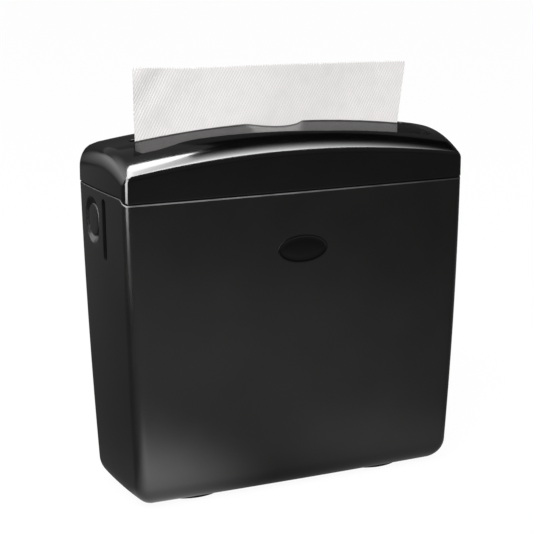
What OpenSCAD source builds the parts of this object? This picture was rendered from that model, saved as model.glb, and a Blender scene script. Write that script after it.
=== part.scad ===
// Countertop paper towel dispenser: a tapered tub with a hinged smoked lid,
// a sprung lifter that holds the folded towels up, and side push buttons that free the lid.
// Left and right are as seen from the front, which faces -Y. The counter is Z = 0.

/* [Body] */
// Spare room between each guide panel and the button's stem when it is pushed in
stem_spare = 1.5; // [0.8:0.1:8]
// Depth of the tub at the seam, without the bow of its front
body_d = 103; // [100:1:125]
// Height from the underside of the tub to the front seam
body_h = 244.5; // [236:0.5:270]
// Wall thickness of the tub
wall = 2.6; // [2.2:0.1:3]
// How far each side draws in from the seam to the base
side_taper = 8.7; // [6:0.1:10]
// How far each side swells between the seam and the base
side_sag = 1.5; // [0:0.1:3]
// How far the front draws in from the seam to the base
front_taper = 0.5; // [0:0.1:3]
// How far the front swells between the seam and the base
front_sag = 1; // [0:0.1:3]
// How far the rear draws in from the seam to the base
rear_taper = 6.6; // [3:0.1:7]
// Bow of the front, middle against corners
front_bow = 1.4; // [0:0.1:4]
// Bow of each side, middle against corners
side_bow = 1.2; // [0:0.1:3]
// Upright corner radius at the seam
top_corner_r = 6.5; // [5:0.5:12]
// Upright corner radius at the base
bottom_corner_r = 10.5; // [8:0.5:18]
// Radius of the edge between the walls and the base
bottom_edge_r = 18; // [14:0.5:22]

/* [Seam] */
// How much higher the seam runs on the sides and the rear than on the front
seam_step = 5.2; // [2:0.1:8]
// Distance from the front face where the seam starts to climb
seam_start = 1.5; // [1:0.5:6]
// Length over which the seam climbs
seam_run = 10.5; // [8:0.5:16]
// Open joint between the tub and the lid
seam_gap = 0.5; // [0.3:0.05:0.8]
// Height of the lip that stands inside the lid
lip_h = 4; // [2:0.25:5]
// Thickness of that lip
lip_t = 1.1; // [0.9:0.05:1.2]
// Space between the lip and the lid
lip_gap = 0.3; // [0.2:0.05:0.6]

/* [Lid] */
// How far the lid stands out past the tub
lid_over = 0.3; // [0.1:0.05:1]
// Wall thickness of the lid
lid_t = 2.2; // [2:0.1:2.3]
// Height of the lid's crown above the front seam
lid_rise = 50; // [46:0.5:60]
// Radius of the arch across the lid
arch_r = 870; // [700:10:1200]
// Radius of the crown from the slot to the front edge
front_crown_r = 87; // [82:0.5:110]
// Radius of the crown from the slot to the rear edge
rear_crown_r = 300; // [200:5:400]
// Upright corner radius of the lid
lid_corner_r = 7; // [5:0.5:12]
// Radius along the front top edge
front_edge_r = 2; // [1.5:0.1:4]
// Radius along the rear top edge
rear_edge_r = 5; // [3:0.5:8]
// Radius of the end edge at its front
end_front_r = 5.5; // [4:0.5:8]
// Radius of the end edge at its rear
end_rear_r = 13; // [8:0.5:15]

/* [Towel slot] */
// Space at each end of the slot beyond the towel
slot_end_gap = 3; // [3:0.25:4]
// Space between the towel and the slot's front lip
slot_front_gap = 0.3; // [0.2:0.05:0.5]
// Space between the towel and the slot's rear lip
slot_rear_gap = 7; // [5:0.5:9]
// Half the width of the finger notch at the lip
notch_half = 25; // [18:0.5:32]
// Depth of the finger notch, from the lip to the front
notch_depth = 15; // [8:0.5:16]

/* [Towels] */
// Width of a folded towel
towel_w = 241; // [232:1:244]
// Depth of the folded stack
stack_d = 82; // [76:1:84]
// Height of the stack that is left
stack_h = 62; // [50:1:80]
// Number of folds that show at the stack's edge
stack_folds = 20; // [10:1:30]
// How deep the folds are rounded
fold_depth = 1; // [0.5:0.1:1.5]
// Thickness of the sheet in the slot
towel_t = 0.6; // [0.5:0.1:0.9]
// Height of the sheet above the lid's crown, in the middle
towel_rise = 46.8; // [30:0.2:60]
// How much lower the right end of the sheet is than the left
towel_tilt = 5.5; // [0:0.5:10]
// Pitch of the saw-tooth edge
tooth_pitch = 3.2; // [3.2:0.1:6]
// Depth of the saw-tooth edge
tooth_h = 1.2; // [0.6:0.1:2]
// How far the sheet waves to the front and the rear at its top
towel_wave = 2.6; // [0:0.1:4]

/* [Lifter] */
// Downward travel of the lifter
lifter_travel = 135; // [100:1:140]
// Thickness of the lifter plate
lifter_t = 2.5; // [2:0.1:4]
// Depth of the lifter's stiffening rim
lifter_rim_h = 8; // [6:0.5:10]
// Space between the lifter and each guide panel
lifter_gap = 1.5; // [0.5:0.1:2.5]
// Radius of the guide rods
rod_r = 2.5; // [2:0.1:2.8]
// How far the rods stand in front of the middle
rod_front = 8; // [4:0.5:12]
// Running clearance round rods and stems
run_gap = 0.06; // [0.02:0.01:0.1]
// Clearance round parts that are pushed together
push_gap = 0.05; // [0.02:0.01:0.1]
// Wall of the lifter bushings
bushing_t = 1.5; // [1:0.1:1.8]
// Mean coil radius of the lift springs
lift_coil_r = 5.5; // [5:0.1:5.7]
// Wire diameter of the lift springs
lift_wire_d = 1.1; // [0.8:0.1:1.2]
// Turns of each lift spring
lift_turns = 16; // [10:1:18]

/* [Guide panels] */
// Thickness of the guide panels
panel_t = 2; // [1.6:0.1:2.4]
// Space between the towels and each guide panel
panel_gap = 2.5; // [1.5:0.1:3]
// Space between each guide panel and its spring
coil_gap = 1; // [0.6:0.1:1.4]
// Height of the screw bosses above the tub's floor
panel_boss_h = 4; // [3:0.5:6]
// Width of the upright slot that the lifter's arm runs in
arm_slot_w = 10; // [9:0.5:12]
// Width of the lifter's arm
arm_w = 7; // [5:0.5:8]

/* [Buttons] */
// How far the buttons sit in front of the tub's rear
button_in = 33.5; // [32:0.5:34]
// How far the buttons sit below the front seam
button_drop = 21.5; // [20:0.5:24]
// Width of the dished recess
recess_w = 30; // [28:0.5:31]
// Height of the dished recess
recess_h = 36.6; // [35:0.5:38]
// Depth of the dished recess
recess_depth = 4; // [3:0.25:4.5]
// Width of the button's cap
cap_w = 20.4; // [18:0.2:21]
// Height of the button's cap
cap_h = 26.4; // [24:0.2:27]
// How far the cap lies below the side of the tub
cap_sunk = 2.2; // [1:0.1:3]
// Space round the cap
cap_gap = 0.4; // [0.3:0.05:0.6]
// Travel of each button
button_travel = 3.5; // [2.5:0.1:3.6]
// Mean coil radius of the return springs
return_coil_r = 4.2; // [3.8:0.1:5]
// Wire diameter of the return springs
return_wire_d = 0.8; // [0.6:0.05:0.85]
// Turns of each return spring
return_turns = 4; // [3:1:4]
// Radius of the button's stem
stem_r = 2.5; // [2:0.1:2.8]

/* [Sight slot] */
// Width of the sight slot
sight_w = 7; // [5:0.25:7]
// Length of the sight slot
sight_h = 49; // [40:1:52]
// How far the sight slot sits in front of the middle
sight_front = 9; // [8.8:0.1:12]
// Distance from the front seam down to the top of the sight slot
sight_drop = 1; // [0.8:0.1:4]

/* [Hinge] */
// Distance of each hinge from the tub's side
hinge_in = 70; // [40:1:100]
// Radius of the hinge barrels
barrel_r = 4; // [3.5:0.1:5]
// Radius of the hinge pins
hinge_pin_r = 1.5; // [1.2:0.1:2]
// Length of the lid's barrel
lid_barrel_l = 20; // [14:1:30]
// Length of each barrel on the tub
tub_barrel_l = 12; // [8:1:18]
// Space between barrels, and between the barrels and the lid
hinge_gap = 0.4; // [0.3:0.05:0.6]

/* [Badge and feet] */
// Width of the oval badge
badge_w = 44; // [30:1:60]
// Height of the oval badge
badge_h = 22.6; // [16:0.2:30]
// How far the badge's centre lies below the front seam
badge_drop = 45.4; // [36:0.2:70]
// Thickness of the badge
badge_t = 1.2; // [0.8:0.1:1.6]
// How far the badge stands out of its recess
badge_proud = 0.5; // [0.3:0.1:0.8]
// Radius of the round feet
foot_r = 33; // [24:0.5:36]
// Height of the round feet
foot_h = 2.5; // [2.5:0.1:5]
// Distance of each foot from the tub's side
foot_in = 66; // [50:1:90]

/* [Hidden] */

// Colours
shell_black = [0.055, 0.055, 0.058];
smoke = [0.09, 0.09, 0.095, 0.9];
inner_black = [0.04, 0.04, 0.042];
gloss_black = [0.02, 0.02, 0.022];
rubber_black = [0.03, 0.03, 0.03];
steel = [0.62, 0.63, 0.65];
nylon = [0.85, 0.84, 0.8];
paper_white = [0.93, 0.92, 0.9];

// Roundness and counts of the shells
$fn = 64;
front_n = 14;
rear_n = 14;
side_n = 10;
side_bias = 1.7;
corner_n = 5;
edge_n = 5;
wall_n = 7;
corner_shrink = 0.6;
least_corner = 1;
cut = 1;

// Levels
base_z = foot_h;
floor_z = base_z + wall;
seam_z = base_z + body_h;
rear_seam_z = seam_z + seam_step;
apex_z = seam_z + lid_rise;
edge_z = base_z + bottom_edge_r;
edge_share = 1 - bottom_edge_r / body_h;
inner_edge_r = bottom_edge_r - wall;
shoulder = lid_t - lid_over + lip_gap;

// Reach of the whole object from the tub's middle to its front and rear
badge_z = seam_z - badge_drop;
front_levels = 20;
fullest_front = max([for (i = [0:front_levels]) half_front(i / front_levels)]) + front_bow;
lid_front = body_d / 2 + lid_over + front_bow;
mid_to_front = max(lid_front, fullest_front, front_face(badge_z) + badge_proud);
hinge_y = body_d / 2 + lid_over + hinge_gap + barrel_r;
mid_to_rear = hinge_y + barrel_r;
mid_y = (mid_to_front - mid_to_rear) / 2;

// Slot, towel sheet and throat
towel_y = 0;
slot_len = towel_w + 2 * slot_end_gap;
slot_front = towel_t / 2 + slot_front_gap;
slot_rear = towel_t / 2 + slot_rear_gap;
slot_corner = 0.35 * (slot_front + slot_rear);
lip_round = 0.6;
notch_r = (notch_half * notch_half + notch_depth * notch_depth) / (2 * notch_depth);
throat_t = 2.2;
retainer_z = rear_seam_z - throat_t;
throat_half_x = towel_w / 2 + 2;
throat_front = 20;
throat_rear = 15;
throat_front_edge = 46;
throat_rear_edge = 44;
throat_drop = 6.6;
throat_top_z = apex_z - throat_drop;
throat_arch_r = arch_r - throat_drop;
throat_boss_r = 3;
throat_screw_x = throat_half_x + throat_t + throat_boss_r + 3;
throat_screw_front = 20;
throat_screw_rear = 30;
throat_half_l = throat_screw_x + throat_boss_r + 3;

// Stack and lifter
stack_y = -1.5;
stack_gap = 1;
stack_top_z = retainer_z - stack_gap;
lifter_z = stack_top_z - stack_h;
ear_z = lifter_z - lifter_rim_h;
lifter_d = stack_d + 2;
lifter_rim_t = 2;
panel_in = towel_w / 2 + panel_gap;
panel_out = panel_in + panel_t;
lift_spring_r = lift_coil_r + lift_wire_d / 2;
rod_x = panel_out + coil_gap + lift_spring_r;
rod_y = -rod_front;
ear_r = lift_spring_r + 0.45;
lifter_half_w = panel_in - lifter_gap;
bushing_r = rod_r + run_gap + bushing_t;
bushing_flange_r = bushing_r + 1.4;
bushing_flange_t = 1.5;
spring_end_gap = 0.2;

// Guide panels, rod shelves and brackets
panel_foot_t = 2.4;
panel_foot_z = floor_z + panel_boss_h;
panel_foot_top = panel_foot_z + panel_foot_t;
panel_top_z = seam_z - 1.5;
panel_foot_w = 20;
panel_boss_r = 6;
panel_screw_x = panel_in - panel_foot_w / 2;
panel_screw_front = 26;
panel_screw_rear = 20;
panel_low_front = 34;
panel_low_rear = 30;
panel_step_z = edge_z + 7;
panel_low_top_z = panel_step_z + 10;
panel_front = 45;
panel_rear = 40;
shelf_z = floor_z + 10.4;
shelf_t = 3;
shelf_top_z = shelf_z + shelf_t;
shelf_w = lift_spring_r + 0.6;
arm_slot_z = ear_z - lifter_travel - 4;
bracket_arm_t = 4;
bracket_top_z = panel_top_z - 6;
bracket_z = bracket_top_z - 14;
bracket_t = 2;
bracket_half_w = 14;
bracket_screw_off = 10;
bracket_screw_z = bracket_z + 5;

// Screws
screw_r = 1.5;
screw_head_r = 2.8;
screw_head_h = 1.8;
foot_screw_r = 2;
foot_head_r = 4.2;
foot_head_h = 1.4;
foot_head_sunk = 0.4;
foot_boss_r = 5;
foot_boss_h = 8;
foot_boss_top = floor_z + foot_boss_h;
foot_y = -(rear_taper - front_taper) / 2;
hole_floor = 0.8;

// Buttons and latches, measured inwards from the outer face of the tub at the button
button_y = body_d / 2 - button_in;
button_z = seam_z - button_drop;
cup_floor_t = 2;
cup_back = recess_depth + cup_floor_t;
cup_r = recess_w / 2 + 1.5;
flange_gap = 0.2;
flange_t = 2;
flange_front = cup_back + flange_gap;
flange_back = flange_front + flange_t;
flange_over = 2.4;
return_spare = 1.2;
return_spring_l = button_travel + return_turns * return_wire_d + return_spare;
plate_front = flange_back + return_spring_l;
plate_t = 2;
plate_back = plate_front + plate_t;
stem_end = plate_back + 2.6;
arm_t = 2.5;
arm_back = flange_back + 6.9;
arm_front = arm_back - arm_t;
arm_low = 10;
arm_half_w = 6;
nose_len = 2.4;
nose_low = 20;
barb_len = 1.8;
barb_h = 2.5;
barb_gap = 0.5;
latch_gap = 0.3;
tongue_t = 2;
tongue_front = arm_front - nose_len - latch_gap - barb_len - tongue_t;
tongue_half_w = 7;
tongue_low = nose_low - barb_gap - barb_h;
rib_z = rear_seam_z + lip_h + 1.3;
rib_t = 4;
leg_in = cap_w / 2 + cap_gap + flange_over + 1;
leg_t = 2;
lug_gap = 0.4;
lug_reach = 2 * (screw_head_r + lug_gap);
lug_t = 2.5;
lug_y = leg_in + leg_t + lug_reach / 2;
lug_half_h = 4;
housing_low = 12;
housing_high = 9;
leg_half_h = 8;
cap_dome_r = 40;

// The tub's width follows from the towels, the guide panels and the latches between them and the sides
body_w = 2 * (panel_out + stem_end + button_travel + stem_spare - face_offset(button_y, button_z));
foot_x = body_w / 2 - foot_in;
hinge_x = body_w / 2 - hinge_in;

// Smooth step from 0 to 1
function ease(x) = let (c = min(max(x, 0), 1)) c * c * (3 - 2 * c);
function blend(a, b, s) = a + (b - a) * s;
// How far a circle of radius r has fallen away at a distance d from its top
function fall(r, d) = r - sqrt(r * r - d * d);

// Rounded four-sided outline with bowed front and sides, seen from above, from the left end of the front
function outline(half, front, rear, c, front_b, side_b) = concat(
    [for (i = [0:front_n - 1]) let (s = 2 * i / front_n - 1)
        [s * (half - c), -front - front_b * (1 - s * s)]],
    corner_points([half - c, c - front], c, -90),
    [for (i = [0:side_n - 1]) side_point(half, front, rear, c, side_b, pow(i / side_n, side_bias), 1)],
    corner_points([half - c, rear - c], c, 0),
    [for (i = [0:rear_n - 1]) let (s = 1 - 2 * i / rear_n) [s * (half - c), rear]],
    corner_points([c - half, rear - c], c, 90),
    [for (i = [0:side_n - 1]) side_point(half, front, rear, c, side_b, pow(1 - i / side_n, side_bias), -1)],
    corner_points([c - half, c - front], c, 180)
);
function corner_points(centre, r, from) =
    [for (i = [0:corner_n - 1]) let (g = from + 90 * i / corner_n) centre + r * [cos(g), sin(g)]];
function side_point(half, front, rear, c, side_b, share, side) =
    let (s = 2 * share - 1)
    [side * (half + side_b * (1 - s * s)), c - front + share * (front + rear - 2 * c)];

// Height of the seam: low along the front, higher on the sides and the rear
function seam(y) = seam_z + seam_step * ease((y + body_d / 2 - seam_start) / seam_run);
// Height of the lip: it fades out before the rear, where the lid swings
function lip(y) = lip_h * ease((body_d / 2 - top_corner_r - y) / (2 * top_corner_r));

// Size of the tub at a share of the way down from the seam to the base
function side_offset(share) = 4 * side_sag * share * (1 - share) - side_taper * share;
function half_w(share) = body_w / 2 + side_offset(share);
function half_front(share) = body_d / 2 - front_taper * share + 4 * front_sag * share * (1 - share);
function half_rear(share) = body_d / 2 - rear_taper * share;
function corner_r(share) = blend(top_corner_r, bottom_corner_r, share);
function share_at(z) = (seam_z - z) / body_h;
function section(share, inset, edge_inset) =
    let (d = inset + edge_inset, c = max(corner_r(share) - inset - corner_shrink * edge_inset, least_corner))
    outline(half_w(share) - d, half_front(share) - d, half_rear(share) - d, c, front_bow, side_bow);
// Outer face of the tub's side at a place on it, measured from half the width at the seam or from the middle
function face_offset(y, z) =
    let (share = share_at(z), c = corner_r(share))
    let (s = 2 * (y + half_front(share) - c) / (half_front(share) + half_rear(share) - 2 * c) - 1)
    side_offset(share) + side_bow * (1 - s * s);
function side_face(y, z) = body_w / 2 + face_offset(y, z);
function front_face(z) = half_front(share_at(z)) + front_bow;

// Rings of points of the tub
function level_ring(z, inset, edge_inset) = [for (p = section(share_at(z), inset, edge_inset)) [p.x, p.y, z]];
function edge_ring(g, inset, r) =
    level_ring(base_z + inset + r * (1 - sin(g)), inset, r * (1 - cos(g)));
function wall_ring(f, inset) =
    [for (p = section(edge_share * (1 - f), inset, 0)) [p.x, p.y, blend(edge_z, seam(p.y) - seam_gap, f)]];
function lip_ring(inset, up) =
    [for (p = section(0, inset, 0)) [p.x, p.y, seam(p.y) - seam_gap + up * (seam_gap + lip(p.y))]];

function tub_rings() = concat(
    [for (i = [0:edge_n]) edge_ring(90 - 90 * i / edge_n, 0, bottom_edge_r)],
    [for (i = [1:wall_n]) wall_ring(i / wall_n, 0)],
    [lip_ring(shoulder, 0), lip_ring(shoulder, 1), lip_ring(shoulder + lip_t, 1)],
    [for (i = [wall_n - 1:-1:1]) wall_ring(i / wall_n, wall)],
    [for (i = [0:edge_n]) edge_ring(90 * i / edge_n, wall, inner_edge_r)]
);

// Rings of points of the lid, which run from its rim over the crown to the slot and back inside
function crown(x, y) = apex_z - fall(arch_r, x) - fall(y < 0 ? front_crown_r : rear_crown_r, y);
function lid_outline(inset) =
    let (d = lid_over - inset)
    outline(body_w / 2 + d, body_d / 2 + d, body_d / 2 + d, max(lid_corner_r - inset, least_corner),
        front_bow, side_bow);
function slot_outline() = [
    for (p = outline(slot_len / 2, slot_front, slot_rear, slot_corner, 0, 0)) [p.x, p.y + towel_y]
];
function edge_radius(p) =
    let (across = ease((abs(p.x) - body_w / 2 + lid_corner_r) / lid_corner_r))
    let (along = p.y < 0 ? front_edge_r : rear_edge_r)
    blend(along, blend(end_front_r, end_rear_r, ease(p.y / body_d + 0.5)), across);
function lid_point(p, s, inset, reach, sink) =
    let (q = p + (s - p) * reach / norm(s - p)) [q.x, q.y, crown(q.x, q.y) - inset - sink];
function rim_ring(inset) = [for (p = lid_outline(inset)) [p.x, p.y, seam(p.y)]];
function round_ring(inset, g) =
    let (out = lid_outline(inset), mouth = slot_outline())
    [for (i = [0:len(out) - 1]) let (r = max(edge_radius(out[i]) - inset, least_corner))
        lid_point(out[i], mouth[i], inset, r * (1 - cos(g)), r * (1 - sin(g)))];
function crown_ring(inset, share, sink) =
    let (out = lid_outline(inset), mouth = slot_outline())
    [for (i = [0:len(out) - 1])
        let (r = max(edge_radius(out[i]) - inset, least_corner), whole = norm(mouth[i] - out[i]))
        lid_point(out[i], mouth[i], inset, blend(r, whole, share), sink)];
function lid_rings() = concat(
    [rim_ring(0)],
    [for (g = [0, 30, 60, 90]) round_ring(0, g)],
    [for (s = [0.25, 0.5, 0.75, 0.97]) crown_ring(0, s, 0)],
    [crown_ring(0, 1, lip_round)],
    [for (s = [1, 0.66, 0.33]) crown_ring(lid_t, s, 0)],
    [for (g = [90, 45, 0]) round_ring(lid_t, g)],
    [rim_ring(lid_t)]
);

// Faces between rings of n points: closed into a loop of rings, or capped at the first and last ring
function band_faces(n, a, b) = [
    for (i = [0:n - 1]) let (j = (i + 1) % n)
        each [[a * n + i, b * n + i, b * n + j], [a * n + i, b * n + j, a * n + j]]
];
module loft(rings, looped) {
    n = len(rings[0]);
    m = len(rings);
    bands = [for (k = [0:m - 2]) each band_faces(n, k, k + 1)];
    ends = looped ? band_faces(n, m - 1, 0)
        : [[for (i = [0:n - 1]) i], [for (i = [n - 1:-1:0]) (m - 1) * n + i]];
    polyhedron(points = [for (r = rings) each r], faces = concat(bands, ends));
}

// Coil spring along +Z from Z = 0: each end runs straight for one wire diameter
coil_rings = 8;
coil_sides = 6;
function coil_path(r, wire, length, turns) =
    let (steps = turns * coil_rings, climb = length - 2 * wire)
    concat(
        [[r, 0, 0]],
        [for (i = [0:steps]) let (g = 360 * i / coil_rings)
            [r * cos(g), r * sin(g), wire + climb * i / steps]],
        [[r, 0, length]]
    );
function unit(v) = v / norm(v);
function heading(path, i) = unit(path[min(i + 1, len(path) - 1)] - path[max(i - 1, 0)]);
function coil_ring(path, i, wire) =
    let (out = unit([path[i].x, path[i].y, 0]), over = cross(heading(path, i), out))
    [for (k = [0:coil_sides - 1]) let (g = 360 * k / coil_sides)
        path[i] + wire / 2 * (out * cos(g) + over * sin(g))];
function coil_gap_to_self(path, wire) =
    let (last = len(path) - 1)
    min([for (i = [0:last]) for (j = [i + coil_rings - 2:1:last]) norm(path[i] - path[j])]) - wire;
module coil(r, wire, length, turns) {
    path = coil_path(r, wire, length, turns);
    echo(least_gap_between_turns = coil_gap_to_self(path, wire));
    loft([for (i = [0:len(path) - 1]) coil_ring(path, i, wire)], false);
}

// The model is built about the tub's middle and then set so that its box is centred front to rear
module place() {
    translate([0, mid_y, 0]) children();
}
// Left as drawn, right as its mirror image
module on_side(side) {
    mirror([side > 0 ? 1 : 0, 0, 0]) children();
}
module both_sides() {
    for (side = [-1, 1]) on_side(side) children();
}

// Block between two corners
module block(low, high) {
    translate(low) cube(high - low);
}
// Upright round bar
module post(x, y, low, high, r) {
    translate([x, y, low]) cylinder(h = high - low, r = r);
}
// Round bar along X
module bar(y, z, low, high, r) {
    translate([low, y, z]) rotate([0, 90, 0]) cylinder(h = high - low, r = r);
}
// Place on the left side, measured inwards from the tub's outer face at the button
button_face = side_face(button_y, button_z);
module from_face(depth) {
    translate([depth - button_face, button_y, button_z]) children();
}
// Oval bar along X from the face inwards, with round ends above and below
module oval_bar(w, h, length) {
    for (s = [-1, 1]) translate([0, 0, s * (h - w) / 2]) rotate([0, 90, 0]) cylinder(h = length, r = w / 2);
    translate([0, -w / 2, -(h - w) / 2]) cube([length, w, h - w]);
}
// The same, drawn in evenly from its first to its last end
module oval_taper(w_first, w_last, straight, length) {
    for (s = [-1, 1]) translate([0, 0, s * straight / 2]) rotate([0, 90, 0])
        cylinder(h = length, r1 = w_first / 2, r2 = w_last / 2);
    translate([0, 0, -straight / 2]) linear_extrude(straight)
        polygon([[0, -w_first / 2], [length, -w_last / 2], [length, w_last / 2], [0, w_first / 2]]);
}
// Round-headed screw along +Z, with the underside of its head at Z = 0
module screw(r, length, head_r, head_h) {
    translate([0, 0, -length]) cylinder(h = length, r = r);
    cylinder(h = head_h, r = head_r);
}
module small_screw(length) {
    screw(screw_r, length, screw_head_r, screw_head_h);
}

// Tub
module cup_and_bosses() {
    from_face(wall / 2) oval_bar(2 * cup_r, recess_h + 2 * cup_r - recess_w, cup_back - wall / 2);
    for (s = [-1, 1]) from_face(wall / 2) translate([0, s * lug_y, 0]) rotate([0, 90, 0])
        cylinder(h = cup_back - wall / 2, r = lug_half_h - 0.5);
}
recess_floor_w = cap_w + 2 * cap_gap + 1.2;
recess_out = 3;
recess_lean = (recess_w - recess_floor_w) / recess_depth;
module recess_cut() {
    from_face(-recess_out)
        oval_taper(recess_w + recess_lean * recess_out, recess_floor_w, recess_h - recess_w,
            recess_depth + recess_out);
    from_face(0) oval_bar(cap_w + 2 * cap_gap, cap_h + 2 * cap_gap, cup_back + cut);
}
module boss_screw_cut() {
    for (s = [-1, 1]) from_face(wall) translate([0, s * lug_y, 0]) rotate([0, 90, 0])
        cylinder(h = cup_back - wall + cut, r = screw_r + push_gap);
}
sight_z = seam_z - sight_drop - sight_h / 2;
module sight_cut() {
    translate([-side_face(-sight_front, sight_z) - 2 * cut, -sight_front, sight_z])
        oval_bar(sight_w, sight_h, wall + 4 * cut);
}
module oval_plate(w, h, t) {
    rotate([90, 0, 0]) linear_extrude(t, center = true)
        polygon([for (i = [0:47]) [w / 2 * cos(7.5 * i), h / 2 * sin(7.5 * i)]]);
}
badge_gap = 0.15;
badge_mid = badge_proud - badge_t / 2;
module badge_cut() {
    translate([0, -front_face(badge_z) - badge_mid - cut / 2, badge_z])
        oval_plate(badge_w + 2 * badge_gap, badge_h + 2 * badge_gap, badge_t + cut);
}
// Barrels of one hinge that belong to the tub, each with a gusset down the rear wall
barrel_step = lid_barrel_l / 2 + hinge_gap + tub_barrel_l / 2;
gusset_h = 20;
gusset_gap = 1.2;
web_h = 10;
wall_middle = body_d / 2 - wall / 2;
lid_wall_y = body_d / 2 + lid_over - lid_t / 2;
module barrel(x, length) {
    bar(hinge_y, rear_seam_z, x - length / 2, x + length / 2, barrel_r);
}
module web(x, length, points) {
    translate([x - length / 2, 0, 0]) rotate([90, 0, 90]) linear_extrude(length) polygon(points);
}
module tub_barrels() {
    for (side = [-1, 1], step = [-1, 1]) {
        x = side * hinge_x + step * barrel_step;
        barrel(x, tub_barrel_l);
        web(x, tub_barrel_l, [
            [wall_middle, rear_seam_z - gusset_h], [hinge_y, rear_seam_z - barrel_r],
            [hinge_y, rear_seam_z - gusset_gap], [wall_middle, rear_seam_z - gusset_gap]
        ]);
    }
}
module pin_bores(clear) {
    reach = lid_barrel_l / 2 + hinge_gap + tub_barrel_l + cut;
    for (side = [-1, 1])
        bar(hinge_y, rear_seam_z, side * hinge_x - reach, side * hinge_x + reach, hinge_pin_r + clear);
}
module panel_bosses(low, high, r) {
    for (side = [-1, 1], y = [-panel_screw_front, panel_screw_rear])
        post(side * panel_screw_x, y, low, high, r);
}
module body_shell() {
    color(shell_black) place() difference() {
        union() {
            loft(tub_rings(), false);
            both_sides() cup_and_bosses();
            tub_barrels();
            panel_bosses(floor_z - wall / 2, panel_foot_z, panel_boss_r);
            for (side = [-1, 1]) post(side * foot_x, foot_y, floor_z - wall / 2, foot_boss_top, foot_boss_r);
        }
        both_sides() {
            recess_cut();
            boss_screw_cut();
            sight_cut();
        }
        badge_cut();
        pin_bores(push_gap);
        panel_bosses(floor_z - hole_floor, panel_foot_z + cut, screw_r + push_gap);
        for (side = [-1, 1])
            post(side * foot_x, foot_y, base_z - cut, foot_boss_top - hole_floor, foot_screw_r + push_gap);
    }
}

// Bare oval badge on the front
module badge() {
    color(gloss_black) place() translate([0, -front_face(badge_z) - badge_mid, badge_z])
        oval_plate(badge_w, badge_h, badge_t);
}

// Round rubber foot, sunk in the middle for its screw
foot_lean = 1;
module foot(side) {
    color(rubber_black) place() on_side(side) translate([-foot_x, foot_y, 0]) difference() {
        union() {
            cylinder(h = foot_lean, r1 = foot_r - foot_lean, r2 = foot_r);
            translate([0, 0, foot_lean]) cylinder(h = foot_h - foot_lean, r = foot_r);
        }
        translate([0, 0, -cut]) cylinder(h = foot_h + 2 * cut, r = foot_screw_r + 2 * push_gap);
        translate([0, 0, -cut])
            cylinder(h = cut + foot_head_sunk + foot_head_h, r = foot_head_r + 2 * push_gap);
    }
}
module foot_left() {
    foot(-1);
}
module foot_right() {
    foot(1);
}
module foot_screws() {
    length = foot_boss_top - 2 * hole_floor - foot_head_sunk - foot_head_h;
    color(steel) place() for (side = [-1, 1])
        translate([side * foot_x, foot_y, foot_head_sunk + foot_head_h]) mirror([0, 0, 1])
            screw(foot_screw_r, length, foot_head_r, foot_head_h);
}

// Guide panel: upright plate on a turned-in foot, with a shelf for the rod and its spring
module panel_plate() {
    block([-panel_out, -panel_low_front, panel_foot_z], [-panel_in, panel_low_rear, panel_low_top_z]);
    block([-panel_out, -panel_front, panel_step_z], [-panel_in, panel_rear, panel_top_z]);
    block([-panel_out, -panel_low_front, panel_foot_z],
        [-panel_in + panel_foot_w, panel_low_rear, panel_foot_top]);
    block([-rod_x, rod_y - shelf_w, shelf_z], [-panel_in, rod_y + shelf_w, shelf_top_z]);
    post(-rod_x, rod_y, shelf_z, shelf_top_z, shelf_w);
}
module guide_panel(side) {
    color(inner_black) place() on_side(side) difference() {
        panel_plate();
        block([-panel_out - cut, rod_y - arm_slot_w / 2, arm_slot_z],
            [-panel_in + cut, rod_y + arm_slot_w / 2, panel_top_z + cut]);
        post(-rod_x, rod_y, shelf_z - cut, shelf_top_z + cut, rod_r + push_gap);
        for (y = [-panel_screw_front, panel_screw_rear])
            post(-panel_screw_x, y, panel_foot_z - cut, panel_foot_top + cut, screw_r + 2 * push_gap);
        bracket_screw_places() bar(0, 0, -panel_out - cut, -panel_in + cut, screw_r + push_gap);
    }
}
module bracket_screw_places() {
    for (s = [-1, 1]) translate([0, rod_y + s * bracket_screw_off, bracket_screw_z]) children();
}
module guide_panel_left() {
    guide_panel(-1);
}
module guide_panel_right() {
    guide_panel(1);
}
module panel_screws() {
    length = panel_foot_t + panel_boss_h;
    color(steel) place() for (side = [-1, 1], y = [-panel_screw_front, panel_screw_rear])
        translate([side * panel_screw_x, y, panel_foot_top]) small_screw(length);
}

// Guide rod
module guide_rod(side) {
    color(steel) place() on_side(side) post(-rod_x, rod_y, shelf_z, bracket_top_z, rod_r);
}
module guide_rod_left() {
    guide_rod(-1);
}
module guide_rod_right() {
    guide_rod(1);
}

// Bracket that bridges the panel's slot and holds the rod's upper end
module rod_bracket(side) {
    color(inner_black) place() on_side(side) difference() {
        union() {
            block([-panel_out - bracket_t, rod_y - bracket_half_w, bracket_z],
                [-panel_out, rod_y + bracket_half_w, bracket_top_z]);
            block([-rod_x, rod_y - shelf_w, bracket_top_z - bracket_arm_t],
                [-panel_out, rod_y + shelf_w, bracket_top_z]);
            post(-rod_x, rod_y, bracket_top_z - bracket_arm_t, bracket_top_z, shelf_w);
        }
        post(-rod_x, rod_y, bracket_z, bracket_top_z + cut, rod_r + push_gap);
        bracket_screw_places()
            bar(0, 0, -panel_out - bracket_t - cut, -panel_out + cut, screw_r + 2 * push_gap);
    }
}
module rod_bracket_left() {
    rod_bracket(-1);
}
module rod_bracket_right() {
    rod_bracket(1);
}
module bracket_screws() {
    color(steel) place() both_sides() bracket_screw_places()
        translate([-panel_out - bracket_t, 0, 0]) rotate([0, -90, 0]) small_screw(bracket_t + panel_t);
}

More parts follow.
